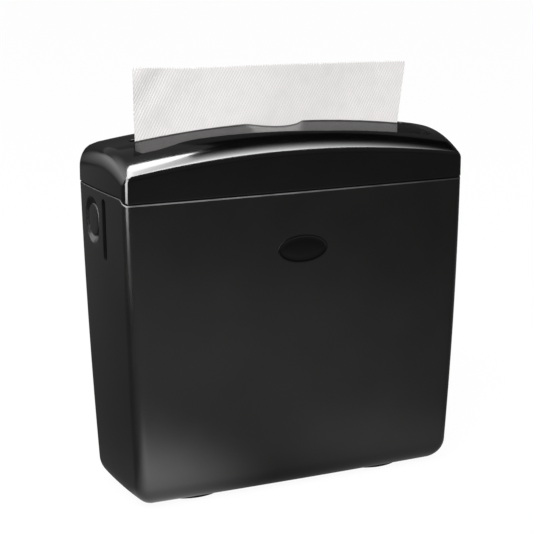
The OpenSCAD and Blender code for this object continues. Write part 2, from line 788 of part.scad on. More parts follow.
// Long spring round each rod, between the panel's shelf and the lifter's ear
module lift_spring(side) {
    color(steel) place() on_side(side) translate([-rod_x, rod_y, shelf_top_z + spring_end_gap])
        coil(lift_coil_r, lift_wire_d, ear_z - shelf_top_z - 2 * spring_end_gap, lift_turns);
}
module lift_spring_left() {
    lift_spring(-1);
}
module lift_spring_right() {
    lift_spring(1);
}

// Latch housing: bridge behind the button that guides its stem and backs its spring
module latch_housing(side) {
    color(inner_black) place() on_side(side) difference() {
        union() {
            from_face(plate_front)
                block([0, -leg_in - leg_t, -housing_low], [plate_t, leg_in + leg_t, housing_high]);
            for (s = [0, 1]) from_face(cup_back) mirror([0, s, 0]) {
                block([0, leg_in, -leg_half_h], [plate_front - cup_back, leg_in + leg_t, leg_half_h]);
                block([0, leg_in, -lug_half_h], [lug_t, leg_in + leg_t + lug_reach, lug_half_h]);
            }
        }
        from_face(plate_front - cut) rotate([0, 90, 0]) cylinder(h = plate_t + 2 * cut, r = stem_r + run_gap);
        for (s = [-1, 1]) from_face(cup_back - cut) translate([0, s * lug_y, 0]) rotate([0, 90, 0])
            cylinder(h = lug_t + 2 * cut, r = screw_r + 2 * push_gap);
    }
}
module latch_housing_left() {
    latch_housing(-1);
}
module latch_housing_right() {
    latch_housing(1);
}
module housing_screws() {
    color(steel) place() both_sides() for (s = [-1, 1])
        from_face(cup_back + lug_t) translate([0, s * lug_y, 0]) rotate([0, 90, 0])
            small_screw(lug_t + cup_back - wall - push_gap);
}
module button_spring(side) {
    color(steel) place() on_side(side) from_face(flange_back + spring_end_gap) rotate([0, 90, 0])
        coil(return_coil_r, return_wire_d, return_spring_l - 2 * spring_end_gap, return_turns);
}
module button_spring_left() {
    button_spring(-1);
}
module button_spring_right() {
    button_spring(1);
}

// Hinge pin
module hinge_pin(side) {
    reach = lid_barrel_l / 2 + hinge_gap + tub_barrel_l;
    color(steel) place()
        bar(hinge_y, rear_seam_z, side * hinge_x - reach, side * hinge_x + reach, hinge_pin_r);
}
module hinge_pin_left() {
    hinge_pin(-1);
}
module hinge_pin_right() {
    hinge_pin(1);
}

// Lid, with its hinge barrels, latch tongues and the bosses that carry the throat guide
module latch_tongue() {
    rib_low = rib_z - button_z;
    rib_top = rib_low + rib_t;
    tongue_back = tongue_front + tongue_t;
    from_face(0) {
        block([tongue_front, -tongue_half_w, tongue_low], [tongue_back, tongue_half_w, rib_top]);
        block([tongue_back, -tongue_half_w, tongue_low],
            [tongue_back + barb_len, tongue_half_w, tongue_low + barb_h]);
        block([lid_t / 2 - lid_over, -tongue_half_w, rib_low], [tongue_back, tongue_half_w, rib_top]);
    }
}
module throat_screw_places() {
    for (side = [-1, 1], y = [-throat_screw_front, throat_screw_rear])
        translate([side * throat_screw_x, y, 0]) children();
}
boss_sunk = 1.25;
module throat_bosses() {
    for (side = [-1, 1], y = [-throat_screw_front, throat_screw_rear])
        post(side * throat_screw_x, y, retainer_z + throat_t, crown(throat_screw_x, y) - boss_sunk,
            throat_boss_r);
}
throat_screw_l = 10;
module lid() {
    color(smoke) place() difference() {
        union() {
            loft(lid_rings(), true);
            both_sides() latch_tongue();
            throat_bosses();
            for (side = [-1, 1]) {
                barrel(side * hinge_x, lid_barrel_l);
                web(side * hinge_x, lid_barrel_l, [
                    [lid_wall_y, rear_seam_z + gusset_gap / 2], [hinge_y, rear_seam_z + gusset_gap / 2],
                    [hinge_y, rear_seam_z + barrel_r], [lid_wall_y, rear_seam_z + web_h]
                ]);
            }
        }
        intersection() {
            post(0, notch_r - notch_depth - slot_front, retainer_z, apex_z + cut, notch_r);
            block([-notch_r, -notch_r, apex_z - lid_rise / 2], [notch_r, towel_y, apex_z + cut]);
        }
        pin_bores(run_gap);
        throat_screw_places()
            translate([0, 0, retainer_z]) cylinder(h = throat_t + throat_screw_l, r = screw_r + push_gap);
    }
}

// Throat guide: flat frame that keeps the stack down, with an arched chimney that leads the towel to the slot
module chimney(grow) {
    block([-throat_half_x - grow, -throat_front - grow, retainer_z - cut + grow * cut / throat_t],
        [throat_half_x + grow, throat_rear + grow, apex_z]);
}
module throat_guide() {
    color(inner_black) place() difference() {
        union() {
            block([-throat_half_l, -throat_front_edge, retainer_z],
                [throat_half_l, throat_rear_edge, retainer_z + throat_t]);
            intersection() {
                chimney(throat_t);
                translate([0, 0, throat_top_z - throat_arch_r]) rotate([90, 0, 0])
                    cylinder(h = body_d, r = throat_arch_r, center = true);
            }
        }
        chimney(0);
        throat_screw_places()
            translate([0, 0, retainer_z - cut]) cylinder(h = throat_t + 2 * cut, r = screw_r + 2 * push_gap);
    }
}
module throat_screws() {
    color(steel) place() throat_screw_places() translate([0, 0, retainer_z]) mirror([0, 0, 1])
        small_screw(throat_t + throat_screw_l - 2 * push_gap);
}

// Sheet in the slot: it stands straight in the throat, and waves and ends in teeth above the lid
tooth_count = round(towel_w / tooth_pitch);
sheet_foot_z = stack_top_z + stack_gap + throat_t / 2;
sheet_free = 1;
wave_length = 155;
wave_turn = 35;
function sheet_top(x) = apex_z + towel_rise - towel_tilt * (x / towel_w);
function sheet_y(x, s) = towel_y + towel_wave * s * sin(360 * x / wave_length + wave_turn);
function sheet_point(i, row) =
    let (x = towel_w * (i / (2 * tooth_count) - 0.5), tip = sheet_top(x) - (i % 2 == 0 ? tooth_h : 0))
    let (lip_z = crown(x, towel_y) + sheet_free)
    let (z = row == 0 ? sheet_foot_z : blend(lip_z, tip, (row - 1) / 2))
    [x, sheet_y(x, row == 0 ? 0 : (row - 1) / 2), z];
function sheet_loop(row) = concat(
    [for (i = [0:2 * tooth_count]) sheet_point(i, row) - [0, towel_t / 2, 0]],
    [for (i = [2 * tooth_count:-1:0]) sheet_point(i, row) + [0, towel_t / 2, 0]]
);
module lead_towel() {
    n = 4 * tooth_count + 2;
    rows = 4;
    bands = [for (k = [0:rows - 2]) each band_faces(n, k, k + 1)];
    strip = [for (i = [0:2 * tooth_count - 1]) [i, i + 1, n - 2 - i, n - 1 - i]];
    foot_faces = [for (f = strip) each [[f[0], f[1], f[2]], [f[0], f[2], f[3]]]];
    top = (rows - 1) * n;
    top_faces = [for (f = foot_faces) [for (k = [2, 1, 0]) top + f[k]]];
    color(paper_white) place() polyhedron(
        points = [for (k = [0:rows - 1]) each sheet_loop(k)], faces = concat(bands, foot_faces, top_faces));
}

// Lifter: plate with a stiffening rim and two arms that reach through the panels to the rods
module lifter_plate() {
    half_d = lifter_d / 2;
    color(inner_black) place() difference() {
        union() {
            difference() {
                block([-lifter_half_w, stack_y - half_d, ear_z], [lifter_half_w, stack_y + half_d, lifter_z]);
                block([lifter_rim_t - lifter_half_w, stack_y - half_d + lifter_rim_t, ear_z - cut],
                    [lifter_half_w - lifter_rim_t, stack_y + half_d - lifter_rim_t, lifter_z - lifter_t]);
            }
            both_sides() {
                block([-rod_x, rod_y - arm_w / 2, ear_z],
                    [lifter_rim_t - lifter_half_w, rod_y + arm_w / 2, lifter_z]);
                post(-rod_x, rod_y, ear_z, lifter_z, ear_r);
            }
        }
        both_sides() post(-rod_x, rod_y, ear_z - cut, lifter_z + cut, bushing_r + push_gap);
    }
}
module lifter_bushing(side) {
    color(nylon) place() on_side(side) difference() {
        union() {
            post(-rod_x, rod_y, ear_z, lifter_z, bushing_r);
            post(-rod_x, rod_y, lifter_z, lifter_z + bushing_flange_t, bushing_flange_r);
        }
        post(-rod_x, rod_y, ear_z - cut, lifter_z + bushing_flange_t + cut, rod_r + run_gap);
    }
}
module lifter_bushing_left() {
    lifter_bushing(-1);
}
module lifter_bushing_right() {
    lifter_bushing(1);
}

// Folded stack: each fold rounds the front and the rear edge a little
fold_steps = 4;
function fold_edge(side) = [
    for (k = [0:stack_folds - 1], i = [0:fold_steps - 1])
        let (share = i / fold_steps, bulge = fold_depth * (sin(180 * share) - 1))
        [side * (stack_d / 2 + bulge), stack_h * (k + share) / stack_folds]
];
function reversed(list) = [for (i = [len(list) - 1:-1:0]) list[i]];
module towel_stack() {
    half_d = stack_d / 2 - fold_depth;
    rear = concat(fold_edge(1), [[half_d, stack_h]]);
    front = concat(fold_edge(-1), [[-half_d, stack_h]]);
    color(paper_white) place() translate([-towel_w / 2, stack_y, lifter_z]) rotate([90, 0, 90])
        linear_extrude(towel_w) polygon(concat(rear, reversed(front)));
}

// Push button: domed cap, flange, stem, and the arm with the latch nose
module button(side) {
    color(shell_black) place() on_side(side) {
        intersection() {
            from_face(cap_sunk) oval_bar(cap_w, cap_h, flange_back - cap_sunk);
            from_face(cap_sunk + cap_dome_r) sphere(r = cap_dome_r);
        }
        from_face(flange_front) oval_bar(cap_w + 2 * flange_over, cap_h + 2 * flange_over, flange_t);
        from_face(flange_back - cut) rotate([0, 90, 0])
            cylinder(h = stem_end - flange_back + cut, r = stem_r);
        from_face(0) {
            block([flange_back - cut, -arm_half_w, arm_low], [arm_back, arm_half_w, arm_low + arm_t]);
            block([arm_front, -arm_half_w, arm_low], [arm_back, arm_half_w, nose_low + arm_t]);
            block([arm_front - nose_len, -arm_half_w, nose_low], [arm_back, arm_half_w, nose_low + arm_t]);
        }
    }
}
module button_left() {
    button(-1);
}
module button_right() {
    button(1);
}

body_shell();
badge();
foot_left();
foot_right();
foot_screws();
guide_panel_left();
guide_panel_right();
panel_screws();
guide_rod_left();
guide_rod_right();
rod_bracket_left();
rod_bracket_right();
bracket_screws();
lift_spring_left();
lift_spring_right();
latch_housing_left();
latch_housing_right();
housing_screws();
button_spring_left();
button_spring_right();
hinge_pin_left();
hinge_pin_right();
lid();
throat_guide();
throat_screws();
lead_towel();
lifter_plate();
lifter_bushing_left();
lifter_bushing_right();
towel_stack();
button_left();
button_right();
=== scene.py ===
import math
import random

import bmesh
import bpy
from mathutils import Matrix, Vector


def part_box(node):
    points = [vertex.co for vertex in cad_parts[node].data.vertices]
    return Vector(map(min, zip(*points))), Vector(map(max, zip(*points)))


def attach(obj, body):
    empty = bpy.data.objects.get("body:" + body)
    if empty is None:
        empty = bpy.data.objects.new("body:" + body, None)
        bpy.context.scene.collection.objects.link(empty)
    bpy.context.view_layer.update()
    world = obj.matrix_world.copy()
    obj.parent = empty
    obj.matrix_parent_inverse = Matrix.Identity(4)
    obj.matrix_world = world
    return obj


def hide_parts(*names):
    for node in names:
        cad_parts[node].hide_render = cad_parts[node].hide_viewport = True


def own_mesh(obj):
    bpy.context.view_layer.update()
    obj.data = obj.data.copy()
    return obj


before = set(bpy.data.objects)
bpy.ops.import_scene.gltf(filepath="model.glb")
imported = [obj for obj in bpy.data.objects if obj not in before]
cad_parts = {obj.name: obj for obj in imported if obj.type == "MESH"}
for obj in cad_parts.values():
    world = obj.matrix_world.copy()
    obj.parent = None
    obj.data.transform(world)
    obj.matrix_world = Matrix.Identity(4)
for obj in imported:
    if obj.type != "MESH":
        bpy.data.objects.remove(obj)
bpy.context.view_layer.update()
scene = bpy.context.scene
scene.view_settings.view_transform = "Standard"

# Sizes in millimetres, about the middle of the tub's depth
MM = 0.001
BODY_W, BODY_D, BODY_H, WALL = 299.979, 103.0, 244.5, 2.6
SIDE_TAPER, SIDE_SAG, FRONT_TAPER, FRONT_SAG, REAR_TAPER = 8.7, 1.5, 0.5, 1.0, 6.6
FRONT_BOW, SIDE_BOW = 1.4, 1.2
TOP_CORNER, BOTTOM_CORNER, BOTTOM_EDGE, CORNER_SHRINK = 6.5, 10.5, 18.0, 0.6
BASE_Z, FRONT_LIFT, LID_RISE = 2.5, 1.4, 50
FLOOR_Z = BASE_Z + WALL
SEAM_Z = BASE_Z + BODY_H
SEAM_STEP, SEAM_START, SEAM_RUN, SEAM_GAP = 5.2, 1.5, 10.5, 0.5
REAR_SEAM_Z = SEAM_Z + SEAM_STEP
FRONT_SEAM_Z = SEAM_Z + FRONT_LIFT
LIP_H, LIP_T, SHOULDER = 4.0, 1.1, 2.2
EDGE_Z = BASE_Z + BOTTOM_EDGE
EDGE_SHARE = 1 - BOTTOM_EDGE / BODY_H
LID_OVER, LID_T, LID_CORNER = 0.3, 2.2, 7.0
APEX_Z = SEAM_Z + LID_RISE
ARCH_R, FRONT_CROWN_R, REAR_CROWN_R = 870.0, 87.0, 300.0
FRONT_EDGE, REAR_EDGE, END_FRONT, END_REAR = 2.0, 5.0, 5.5, 15.0
LID_GAP = 0.6
TOWEL_W, TOWEL_T = 241.0, 0.6
SLOT_HALF, SLOT_FRONT, SLOT_REAR, SLOT_CORNER = 123.5, 0.6, 7.3, 2.765
NOTCH_R, NOTCH_Y = 28.33, 12.73
HINGE_X, HINGE_Y, BARREL_R, PIN_R = 79.99, 56.2, 4.0, 1.5
BUTTON_Y, BUTTON_Z = 18.0, 225.5
SIGHT_Y, SIGHT_Z, SIGHT_R, SIGHT_STRAIGHT = -9.0, 221.5, 3.5, 42.0
CORNER_N = 10
LEAST_CORNER = 1.0

pin_low, pin_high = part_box("hinge_pin_left")
MID_Y = (pin_low[1] + pin_high[1]) / 2 / MM - HINGE_Y


def ease(x):
    c = min(max(x, 0), 1)
    return c * c * (3 - 2 * c)


def mix(a, b, s):
    return a + (b - a) * s


def fall(r, d):
    return r - math.sqrt(r * r - d * d)


def seam(y):
    return mix(FRONT_SEAM_Z, REAR_SEAM_Z, ease((y + BODY_D / 2 - SEAM_START) / SEAM_RUN))


def lip(y):
    return LIP_H * ease((BODY_D / 2 - TOP_CORNER - y) / (2 * TOP_CORNER))


def half_w(t):
    return BODY_W / 2 + 4 * SIDE_SAG * t * (1 - t) - SIDE_TAPER * t


def half_front(t):
    return BODY_D / 2 - FRONT_TAPER * t + 4 * FRONT_SAG * t * (1 - t)


def half_rear(t):
    return BODY_D / 2 - REAR_TAPER * t


def corner_r(t):
    return mix(TOP_CORNER, BOTTOM_CORNER, t)


def crown(x, y):
    return APEX_Z - fall(ARCH_R, x) - fall(FRONT_CROWN_R if y < 0 else REAR_CROWN_R, y)


def outline(half, front, rear, c, front_b, side_b, grid):
    """Rounded four-sided outline seen from above, from the left end of the front."""
    fronts, sides, rears = grid

    def side(t, sign):
        s = 2 * t - 1
        return (sign * (half + side_b * (1 - s * s)), c - front + t * (front + rear - 2 * c))

    def corner(x, y, start):
        turns = [math.radians(start + 90 * i / CORNER_N) for i in range(CORNER_N)]
        return [(x + c * math.cos(g), y + c * math.sin(g)) for g in turns]

    points = [(s * (half - c), -front - front_b * (1 - s * s)) for s in fronts[:-1]]
    points += corner(half - c, c - front, -90)
    points += [side(t, 1) for t in sides[:-1]]
    points += corner(half - c, rear - c, 0)
    points += [(s * (half - c), rear) for s in rears[:-1]]
    points += corner(c - half, rear - c, 90)
    points += [side(t, -1) for t in sides[:0:-1]]
    points += corner(c - half, c - front, 180)
    return points


def spread(a, b, n):
    return [mix(a, b, i / n) for i in range(n + 1)]


def softened(low, high, r):
    """Places and insets of a plate's four outlines, so that its rims are softened."""
    return ((low, r), (low + r, 0), (high - r, 0), (high, r))


class Mesh:
    """Points in millimetres about the tub's middle, faces, and each face's material number."""

    def __init__(self):
        self.points, self.faces, self.marks = [], [], []

    def ring(self, points):
        first = len(self.points)
        self.points += points
        return list(range(first, len(self.points)))

    def face(self, corners, mark=0):
        self.faces.append(tuple(corners))
        self.marks.append(mark)

    def band(self, a, b, mark=0, closed=True, skip=()):
        n = len(a)
        for i in range(n if closed else n - 1):
            if i not in skip:
                j = (i + 1) % n
                self.face((a[i], b[i], b[j], a[j]), mark)

    def loft(self, rings, looped=False, mark=0):
        made = [self.ring(r) for r in rings]
        for a, b in zip(made, made[1:]):
            self.band(a, b, mark)
        if looped:
            self.band(made[-1], made[0], mark)
        else:
            self.face(made[0], mark)
            self.face(made[-1], mark)

    def tube(self, y, z, low, high, outer, bore, n=40, round_r=0.4, mark=0):
        """Bar along X with a bore and rounded ends."""
        soft = 0.3 * round_r
        profile = [(low, bore), (low, outer - round_r), (low + soft, outer - soft),
                   (low + round_r, outer), (high - round_r, outer),
                   (high - soft, outer - soft), (high, outer - round_r), (high, bore)]
        turns = [2 * math.pi * i / n for i in range(n)]
        rings = [[(x, y + r * math.cos(g), z + r * math.sin(g)) for g in turns] for x, r in profile]
        self.loft(rings, looped=True, mark=mark)

    def post(self, x, y, low, high, r, bore=0.0, deep=0.7, n=32, round_r=0.4, mark=0):
        """Upright boss with rounded rims; a bore goes down from its top for a share of it."""
        turns = [2 * math.pi * i / n for i in range(n)]
        profile = [(r - round_r, low), (r, low + round_r), (r, high - round_r), (r - round_r, high)]
        if bore:
            profile += [(bore, high), (bore, mix(high, low, deep))]
        rings = [[(x + s * math.cos(g), y + s * math.sin(g), z) for g in turns] for s, z in profile]
        self.loft(rings, mark=mark)

    def block(self, low, high, round_r=0.3, mark=0):
        """Block with softened edges."""
        (x0, y0, z0), (x1, y1, z1) = low, high

        def level(z, d):
            b = round_r
            return [(x0 + d + b, y0 + d, z), (x1 - d - b, y0 + d, z), (x1 - d, y0 + d + b, z),
                    (x1 - d, y1 - d - b, z), (x1 - d - b, y1 - d, z), (x0 + d + b, y1 - d, z),
                    (x0 + d, y1 - d - b, z), (x0 + d, y0 + d + b, z)]

        self.loft([level(z, d) for z, d in softened(z0, z1, round_r)], mark=mark)

    def prism(self, points, low, high, round_r=0.4, mark=0):
        """Plate along X with softened rims: points are (y, z) of its profile."""
        my = sum(p[0] for p in points) / len(points)
        mz = sum(p[1] for p in points) / len(points)

        def level(x, d):
            made = []
            for y, z in points:
                k = 1 - d / math.hypot(y - my, z - mz)
                made.append((x, my + k * (y - my), mz + k * (z - mz)))
            return made

        self.loft([level(x, d) for x, d in softened(low, high, round_r)], mark=mark)

    def build(self, name, body, materials, replaced=(), sharp=35):
        mesh = bpy.data.meshes.new(name)
        places = [(x * MM, (y + MID_Y) * MM, z * MM) for x, y, z in self.points]
        mesh.from_pydata(places, [], self.faces)
        for m in materials:
            mesh.materials.append(m)
        mesh.polygons.foreach_set("material_index", self.marks)
        work = bmesh.new()
        work.from_mesh(mesh)
        bmesh.ops.recalc_face_normals(work, faces=work.faces)
        work.to_mesh(mesh)
        work.free()
        mesh.shade_smooth()
        mesh.set_sharp_from_angle(angle=math.radians(sharp))
        piece = bpy.data.objects.new(name, mesh)
        scene.collection.objects.link(piece)
        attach(piece, body)
        if replaced:
            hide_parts(*replaced)
        return piece


# Materials
class Nodes:
    """Node tree of a new material, with its shader."""

    def __init__(self, name):
        self.material = bpy.data.materials.new(name)
        self.material.use_nodes = True
        self.tree = self.material.node_tree
        self.shader = self.tree.nodes["Principled BSDF"]
        self.place = self.add("ShaderNodeTexCoord").outputs["Object"]

    def add(self, kind, **sockets):
        made = self.tree.nodes.new(kind)
        for key, value in sockets.items():
            made.inputs[key.replace("_", " ")].default_value = value
        return made

    def link(self, a, b):
        self.tree.links.new(a, b)

    def set(self, **values):
        for key, value in values.items():
            self.shader.inputs[key.replace("_", " ")].default_value = value

    def noise(self, scale, detail=2.0, stretch=None, rough=0.5):
        made = self.add("ShaderNodeTexNoise", Scale=scale, Detail=detail, Roughness=rough)
        place = self.place
        if stretch:
            move = self.add("ShaderNodeMapping", Scale=stretch)
            self.link(place, move.inputs["Vector"])
            place = move.outputs["Vector"]
        self.link(place, made.inputs["Vector"])
        return made.outputs["Fac"]

    def ramp(self, value, low, high, to, start=0.3, end=0.7):
        """Colour between low and high, as value goes from start to end."""
        made = self.add("ShaderNodeValToRGB")
        made.color_ramp.elements[0].position, made.color_ramp.elements[1].position = start, end
        made.color_ramp.elements[0].color = (*low, 1)
        made.color_ramp.elements[1].color = (*high, 1)
        self.link(value, made.inputs["Fac"])
        self.link(made.outputs["Color"], self.shader.inputs[to])

    def range(self, value, low, high, to):
        made = self.add("ShaderNodeMapRange", From_Min=0.3, From_Max=0.7, To_Min=low, To_Max=high)
        self.link(value, made.inputs["Value"])
        self.link(made.outputs["Result"], self.shader.inputs[to])

    def bump(self, height, strength, distance, under=None):
        made = self.add("ShaderNodeBump", Strength=strength, Distance=distance)
        self.link(height, made.inputs["Height"])
        if under:
            self.link(under, made.inputs["Normal"])
        self.link(made.outputs["Normal"], self.shader.inputs["Normal"])
        return made.outputs["Normal"]


def math_node(tree, operation, a, b, clamp=False):
    made = tree.nodes.new("ShaderNodeMath")
    made.operation = operation
    made.use_clamp = clamp
    for socket, value in zip(made.inputs, (a, b)):
        if isinstance(value, (int, float)):
            socket.default_value = value
        else:
            tree.links.new(value, socket)
    return made.outputs["Value"]


def grey(level):
    return (level, level, level)


def plastic(name, colour, rough, gloss, grain=1500, grain_h=0.00002, grain_s=0.15, vary=0.15,
            alpha=1.0):
    """Moulded plastic: slight cloudiness of colour and gloss, and a fine moulded grain."""
    m = Nodes(name)
    m.set(Specular_IOR_Level=gloss, IOR=1.5, Alpha=alpha)
    dark, light = [c * (1 - vary) for c in colour], [c * (1 + vary) for c in colour]
    m.ramp(m.noise(22, 3), dark, light, "Base Color")
    m.range(m.noise(35, 4, rough=0.6), rough * 0.88, rough * 1.14, "Roughness")
    m.bump(m.noise(grain, 2), grain_s, grain_h)
    return m.material


def metal(name, colour, rough, along):
    """Drawn wire or turned bar: fine lines along it."""
    m = Nodes(name)
    m.set(Metallic=1.0)
    lines = m.noise(900, 3, stretch=along)
    m.ramp(m.noise(120, 3), [c * 0.85 for c in colour], colour, "Base Color")
    m.range(lines, rough * 0.8, rough * 1.3, "Roughness")
    m.bump(lines, 0.12, 0.00003)
    return m.material


def paper(name, colour):
    """Embossed paper: steep ridges and fainter cross ridges, unevenly pressed, on fibres; its
    colour darkens where the emboss lies low, as painted shade.
    """
    m = Nodes(name)
    m.set(Roughness=0.92, Specular_IOR_Level=0.12, Sheen_Weight=0.25, Sheen_Roughness=0.6)
    rows = 0.0
    for turn, share in ((-28, 0.7), (40, 0.3)):
        move = m.add("ShaderNodeMapping", Rotation=(0, math.radians(turn), 0))
        m.link(m.place, move.inputs["Vector"])
        wave = m.add("ShaderNodeTexWave", Scale=145, Distortion=1.5, Detail=1.0, Detail_Scale=0.6)
        wave.bands_direction = "X"
        m.link(move.outputs["Vector"], wave.inputs["Vector"])
        ridges = math_node(m.tree, "MULTIPLY", wave.outputs["Fac"], share)
        rows = math_node(m.tree, "ADD", ridges, rows)
    emboss = math_node(m.tree, "MULTIPLY", rows, m.noise(110, 3))
    fibres = m.bump(m.noise(2600, 4), 0.2, 0.00004)
    m.bump(emboss, 0.7, 0.0004, under=fibres)
    # Painted shade: the colour is darker where the emboss lies low
    m.ramp(emboss, [c * 0.86 for c in colour], colour, "Base Color", start=0.05, end=0.42)
    return m.material


def edge_highlight_paint(name, level):
    """Painted highlight along an edge of black plastic: palest along the front and toward its left
    end, broken up by noise.
    """
    m = Nodes(name)
    m.set(Roughness=0.4)
    split = m.add("ShaderNodeSeparateXYZ")
    m.link(m.place, split.inputs["Vector"])
    total = m.noise(60, 3)
    for axis, start, end, least in (("X", -0.06, 0.13, 0.1), ("Y", -0.05, -0.044, 0.25)):
        part = m.add("ShaderNodeMapRange", From_Min=start, From_Max=end, To_Min=1.0, To_Max=least)
        m.link(split.outputs[axis], part.inputs["Value"])
        total = math_node(m.tree, "MULTIPLY", total, part.outputs["Result"])
    m.ramp(total, grey(0.008), grey(level), "Base Color", start=0.0, end=0.5)
    return m.material


shell = plastic("shell", (0.0075, 0.0074, 0.0072), 0.23, 0.5)
# Rim of the tub: a painted highlight, pale on the front and toward the left end
shell_edge_highlight = edge_highlight_paint("shell_edge_highlight", 0.16)
# One smoked plastic: the crown's copies have a darker colour than the skirt's, as painted shade on
# the top
lid_smoke = plastic("smoked_lid", grey(0.004), 0.11, 0.5, grain_s=0.02)
crown_dark = plastic("dark_crown", grey(0.0015), 0.085, 0.5, grain_s=0.02)
crown_smoke = plastic("smoked_crown", grey(0.0015), 0.085, 0.5, grain_s=0.02, alpha=0.58)
crown_under = plastic("crown_under", grey(0.004), 0.11, 0.3, grain_s=0.02, alpha=0.06)
lid_lining = plastic("lid_lining", grey(0.003), 0.75, 0.05)
gloss_plate = plastic("badge_gloss", (0.002, 0.002, 0.0021), 0.14, 0.3, grain_s=0.05)
inner = plastic("inner_plastic", (0.012, 0.012, 0.0122), 0.5, 0.3,
                grain=900, grain_h=0.00005, grain_s=0.3)
throat_matte = plastic("throat_matte", grey(0.004), 0.75, 0.05)
rubber = plastic("foot_rubber", grey(0.011), 0.78, 0.2, grain=700, grain_h=0.00008, grain_s=0.4)
nylon = plastic("nylon", (0.72, 0.70, 0.64), 0.42, 0.4, grain=900, vary=0.06)
steel_z = metal("steel_upright", (0.56, 0.57, 0.59), 0.3, (1, 1, 0.06))
steel_x = metal("steel_across", (0.56, 0.57, 0.59), 0.3, (0.06, 1, 1))
towel_paper = paper("towel_paper", (0.885, 0.862, 0.852))

# Tub: the rim's rounding in front and at the sides, and how far back it changes
RIM_FRONT, RIM_SIDE, RIM_RUN = 1.45, 0.8, 8.0
RIM_TURNS = (0, 22.5, 45, 67.5, 90)
# Material numbers: the rim's painted highlight, and painted shade deep in the sight slot
EDGE_HIGHLIGHT, SLOT_SHADE = 1, 2
EDGE_STEPS, INNER_STEPS = 12, 8
LIP_ROUND, LIP_SHARE = 0.3, 0.92
# Rows and columns of the side walls: the patch holds the openings
PATCH_LOW, PATCH_HIGH, PATCH_ROWS = 191.0, 249.0, 14
WALL_TOP = REAR_SEAM_Z - SEAM_GAP
row_z = ([EDGE_Z, 36, 52, 70, 88, 106, 124, 142, 158, 172, 182]
         + spread(PATCH_LOW, PATCH_HIGH, PATCH_ROWS) + [250.2])
row_f = [(z - EDGE_Z) / (WALL_TOP - EDGE_Z) for z in row_z]
patch_first = row_z.index(PATCH_LOW)
patch_last = patch_first + PATCH_ROWS
side_y = (spread(-44.93, -38.0, 7) + [-34.5, -30.0, -25.5, -21.0] + spread(-16.9, -0.9, 8)
          + spread(-0.9, 36.9, 14)[1:] + [40.5, 44.07])
side_t = [(y - side_y[0]) / (side_y[-1] - side_y[0]) for y in side_y]
SIGHT_COLS, BUTTON_COLS = (12, 20), (20, 34)
N_FRONT, N_SIDE, N_REAR = 44, len(side_t) - 1, 30
body_grid = (spread(-1, 1, N_FRONT), side_t, spread(1, -1, N_REAR))
# Openings in the sides, from the skin inwards: the sight slot (growth, depth), then the button's
# dish and the cup behind it (straight, radius, depth); the slot's outer bands keep the shell's
# look, and its deeper bands take the dull black throat finish as painted shade
SIGHT = ((0.7, 0), (0.35, 0.06), (0.1, 0.22), (0, 0.5), (0, WALL))
SIGHT_SKIN = 4
DISH = [(6.6, 15.9, 0), (6.6, 15.45, 0.07), (6.6, 15.1, 0.3), (6.6, 14.7, 0.75), (6.6, 13.4, 2.1),
        (6.5, 12.2, 3.3), (6.3, 11.5, 3.85), (6.1, 10.95, 4.05), (6.0, 10.65, 4.25),
        (6.0, 10.6, 4.6), (6.0, 10.6, 6.0)]
CUP = [(6.6, 16.1, 6.0), (6.6, 16.5, 5.6), (6.6, 16.5, WALL)]
# Bosses for screws, rooted in the wall or the floor
ROOT, SCREW_BORE = 1.3, 1.55
LATCH_BOSS_OUT, LATCH_BOSS_IN, LATCH_BOSS_R = 19.2, 6.0, 3.5
PANEL_BOSS_X, PANEL_BOSS_Y, PANEL_BOSS_H, PANEL_BOSS_R = 113, (-26, 20), 4, 6
FOOT_BOSS_X, FOOT_BOSS_Y, FOOT_BOSS_H, FOOT_BOSS_R = 83.99, -3.05, 8, 5
# Hinge: knuckles, the pin's play in them, and their lugs as (y, height over the pin)
TUB_KNUCKLE_OUT, TUB_KNUCKLE_HALF, LID_KNUCKLE_HALF = 16.4, 6, 10
TUB_PLAY, LID_PLAY = 0.05, 0.06
TUB_LUG = [(50.2, -20), (HINGE_Y, -BARREL_R), (HINGE_Y + 1.5, -3.2), (HINGE_Y, -1.8), (50.2, -1.2)]
LID_LUG = [(50.7, 0.6), (HINGE_Y, 1.8), (HINGE_Y + 1.5, 3.2), (HINGE_Y, BARREL_R), (50.7, 10)]


def knuckle(made, x, half, play, lug):
    made.tube(HINGE_Y, REAR_SEAM_Z, x - half, x + half, BARREL_R, PIN_R + play)
    made.prism([(y, REAR_SEAM_Z + h) for y, h in lug], x - half, x + half)


def section(t, inset, edge_inset):
    d = inset + edge_inset
    c = max(corner_r(t) - inset - CORNER_SHRINK * edge_inset, LEAST_CORNER)
    return outline(half_w(t) - d, half_front(t) - d, half_rear(t) - d, c,
                   FRONT_BOW, SIDE_BOW, body_grid)


def edge_ring(turn, inset, r):
    g = math.radians(turn)
    z = BASE_Z + inset + r * (1 - math.sin(g))
    return [(x, y, z) for x, y in section((SEAM_Z - z) / BODY_H, inset, r * (1 - math.cos(g)))]


def wall_ring(f, inset):
    ring = section(EDGE_SHARE * (1 - f), inset, 0)
    return [(x, y, mix(EDGE_Z, seam(y) - SEAM_GAP, f)) for x, y in ring]


def rim_round(turn):
    """Ring of the rounded rim, turned from the wall to the top; it is rounder along the front."""
    g = math.radians(turn)
    fronts, sides = (wall_ring(1, r * (1 - math.cos(g))) for r in (RIM_FRONT, RIM_SIDE))
    made = []
    for a, b in zip(fronts, sides):
        s = ease((a[1] + BODY_D / 2) / RIM_RUN)
        x, y, z = (mix(u, v, s) for u, v in zip(a, b))
        made.append((x, y, z - mix(RIM_FRONT, RIM_SIDE, s) * (1 - math.sin(g))))
    return made


def lip_ring(inset, up):
    return [(x, y, seam(y) - SEAM_GAP + up * (SEAM_GAP + lip(y))) for x, y in section(0, inset, 0)]


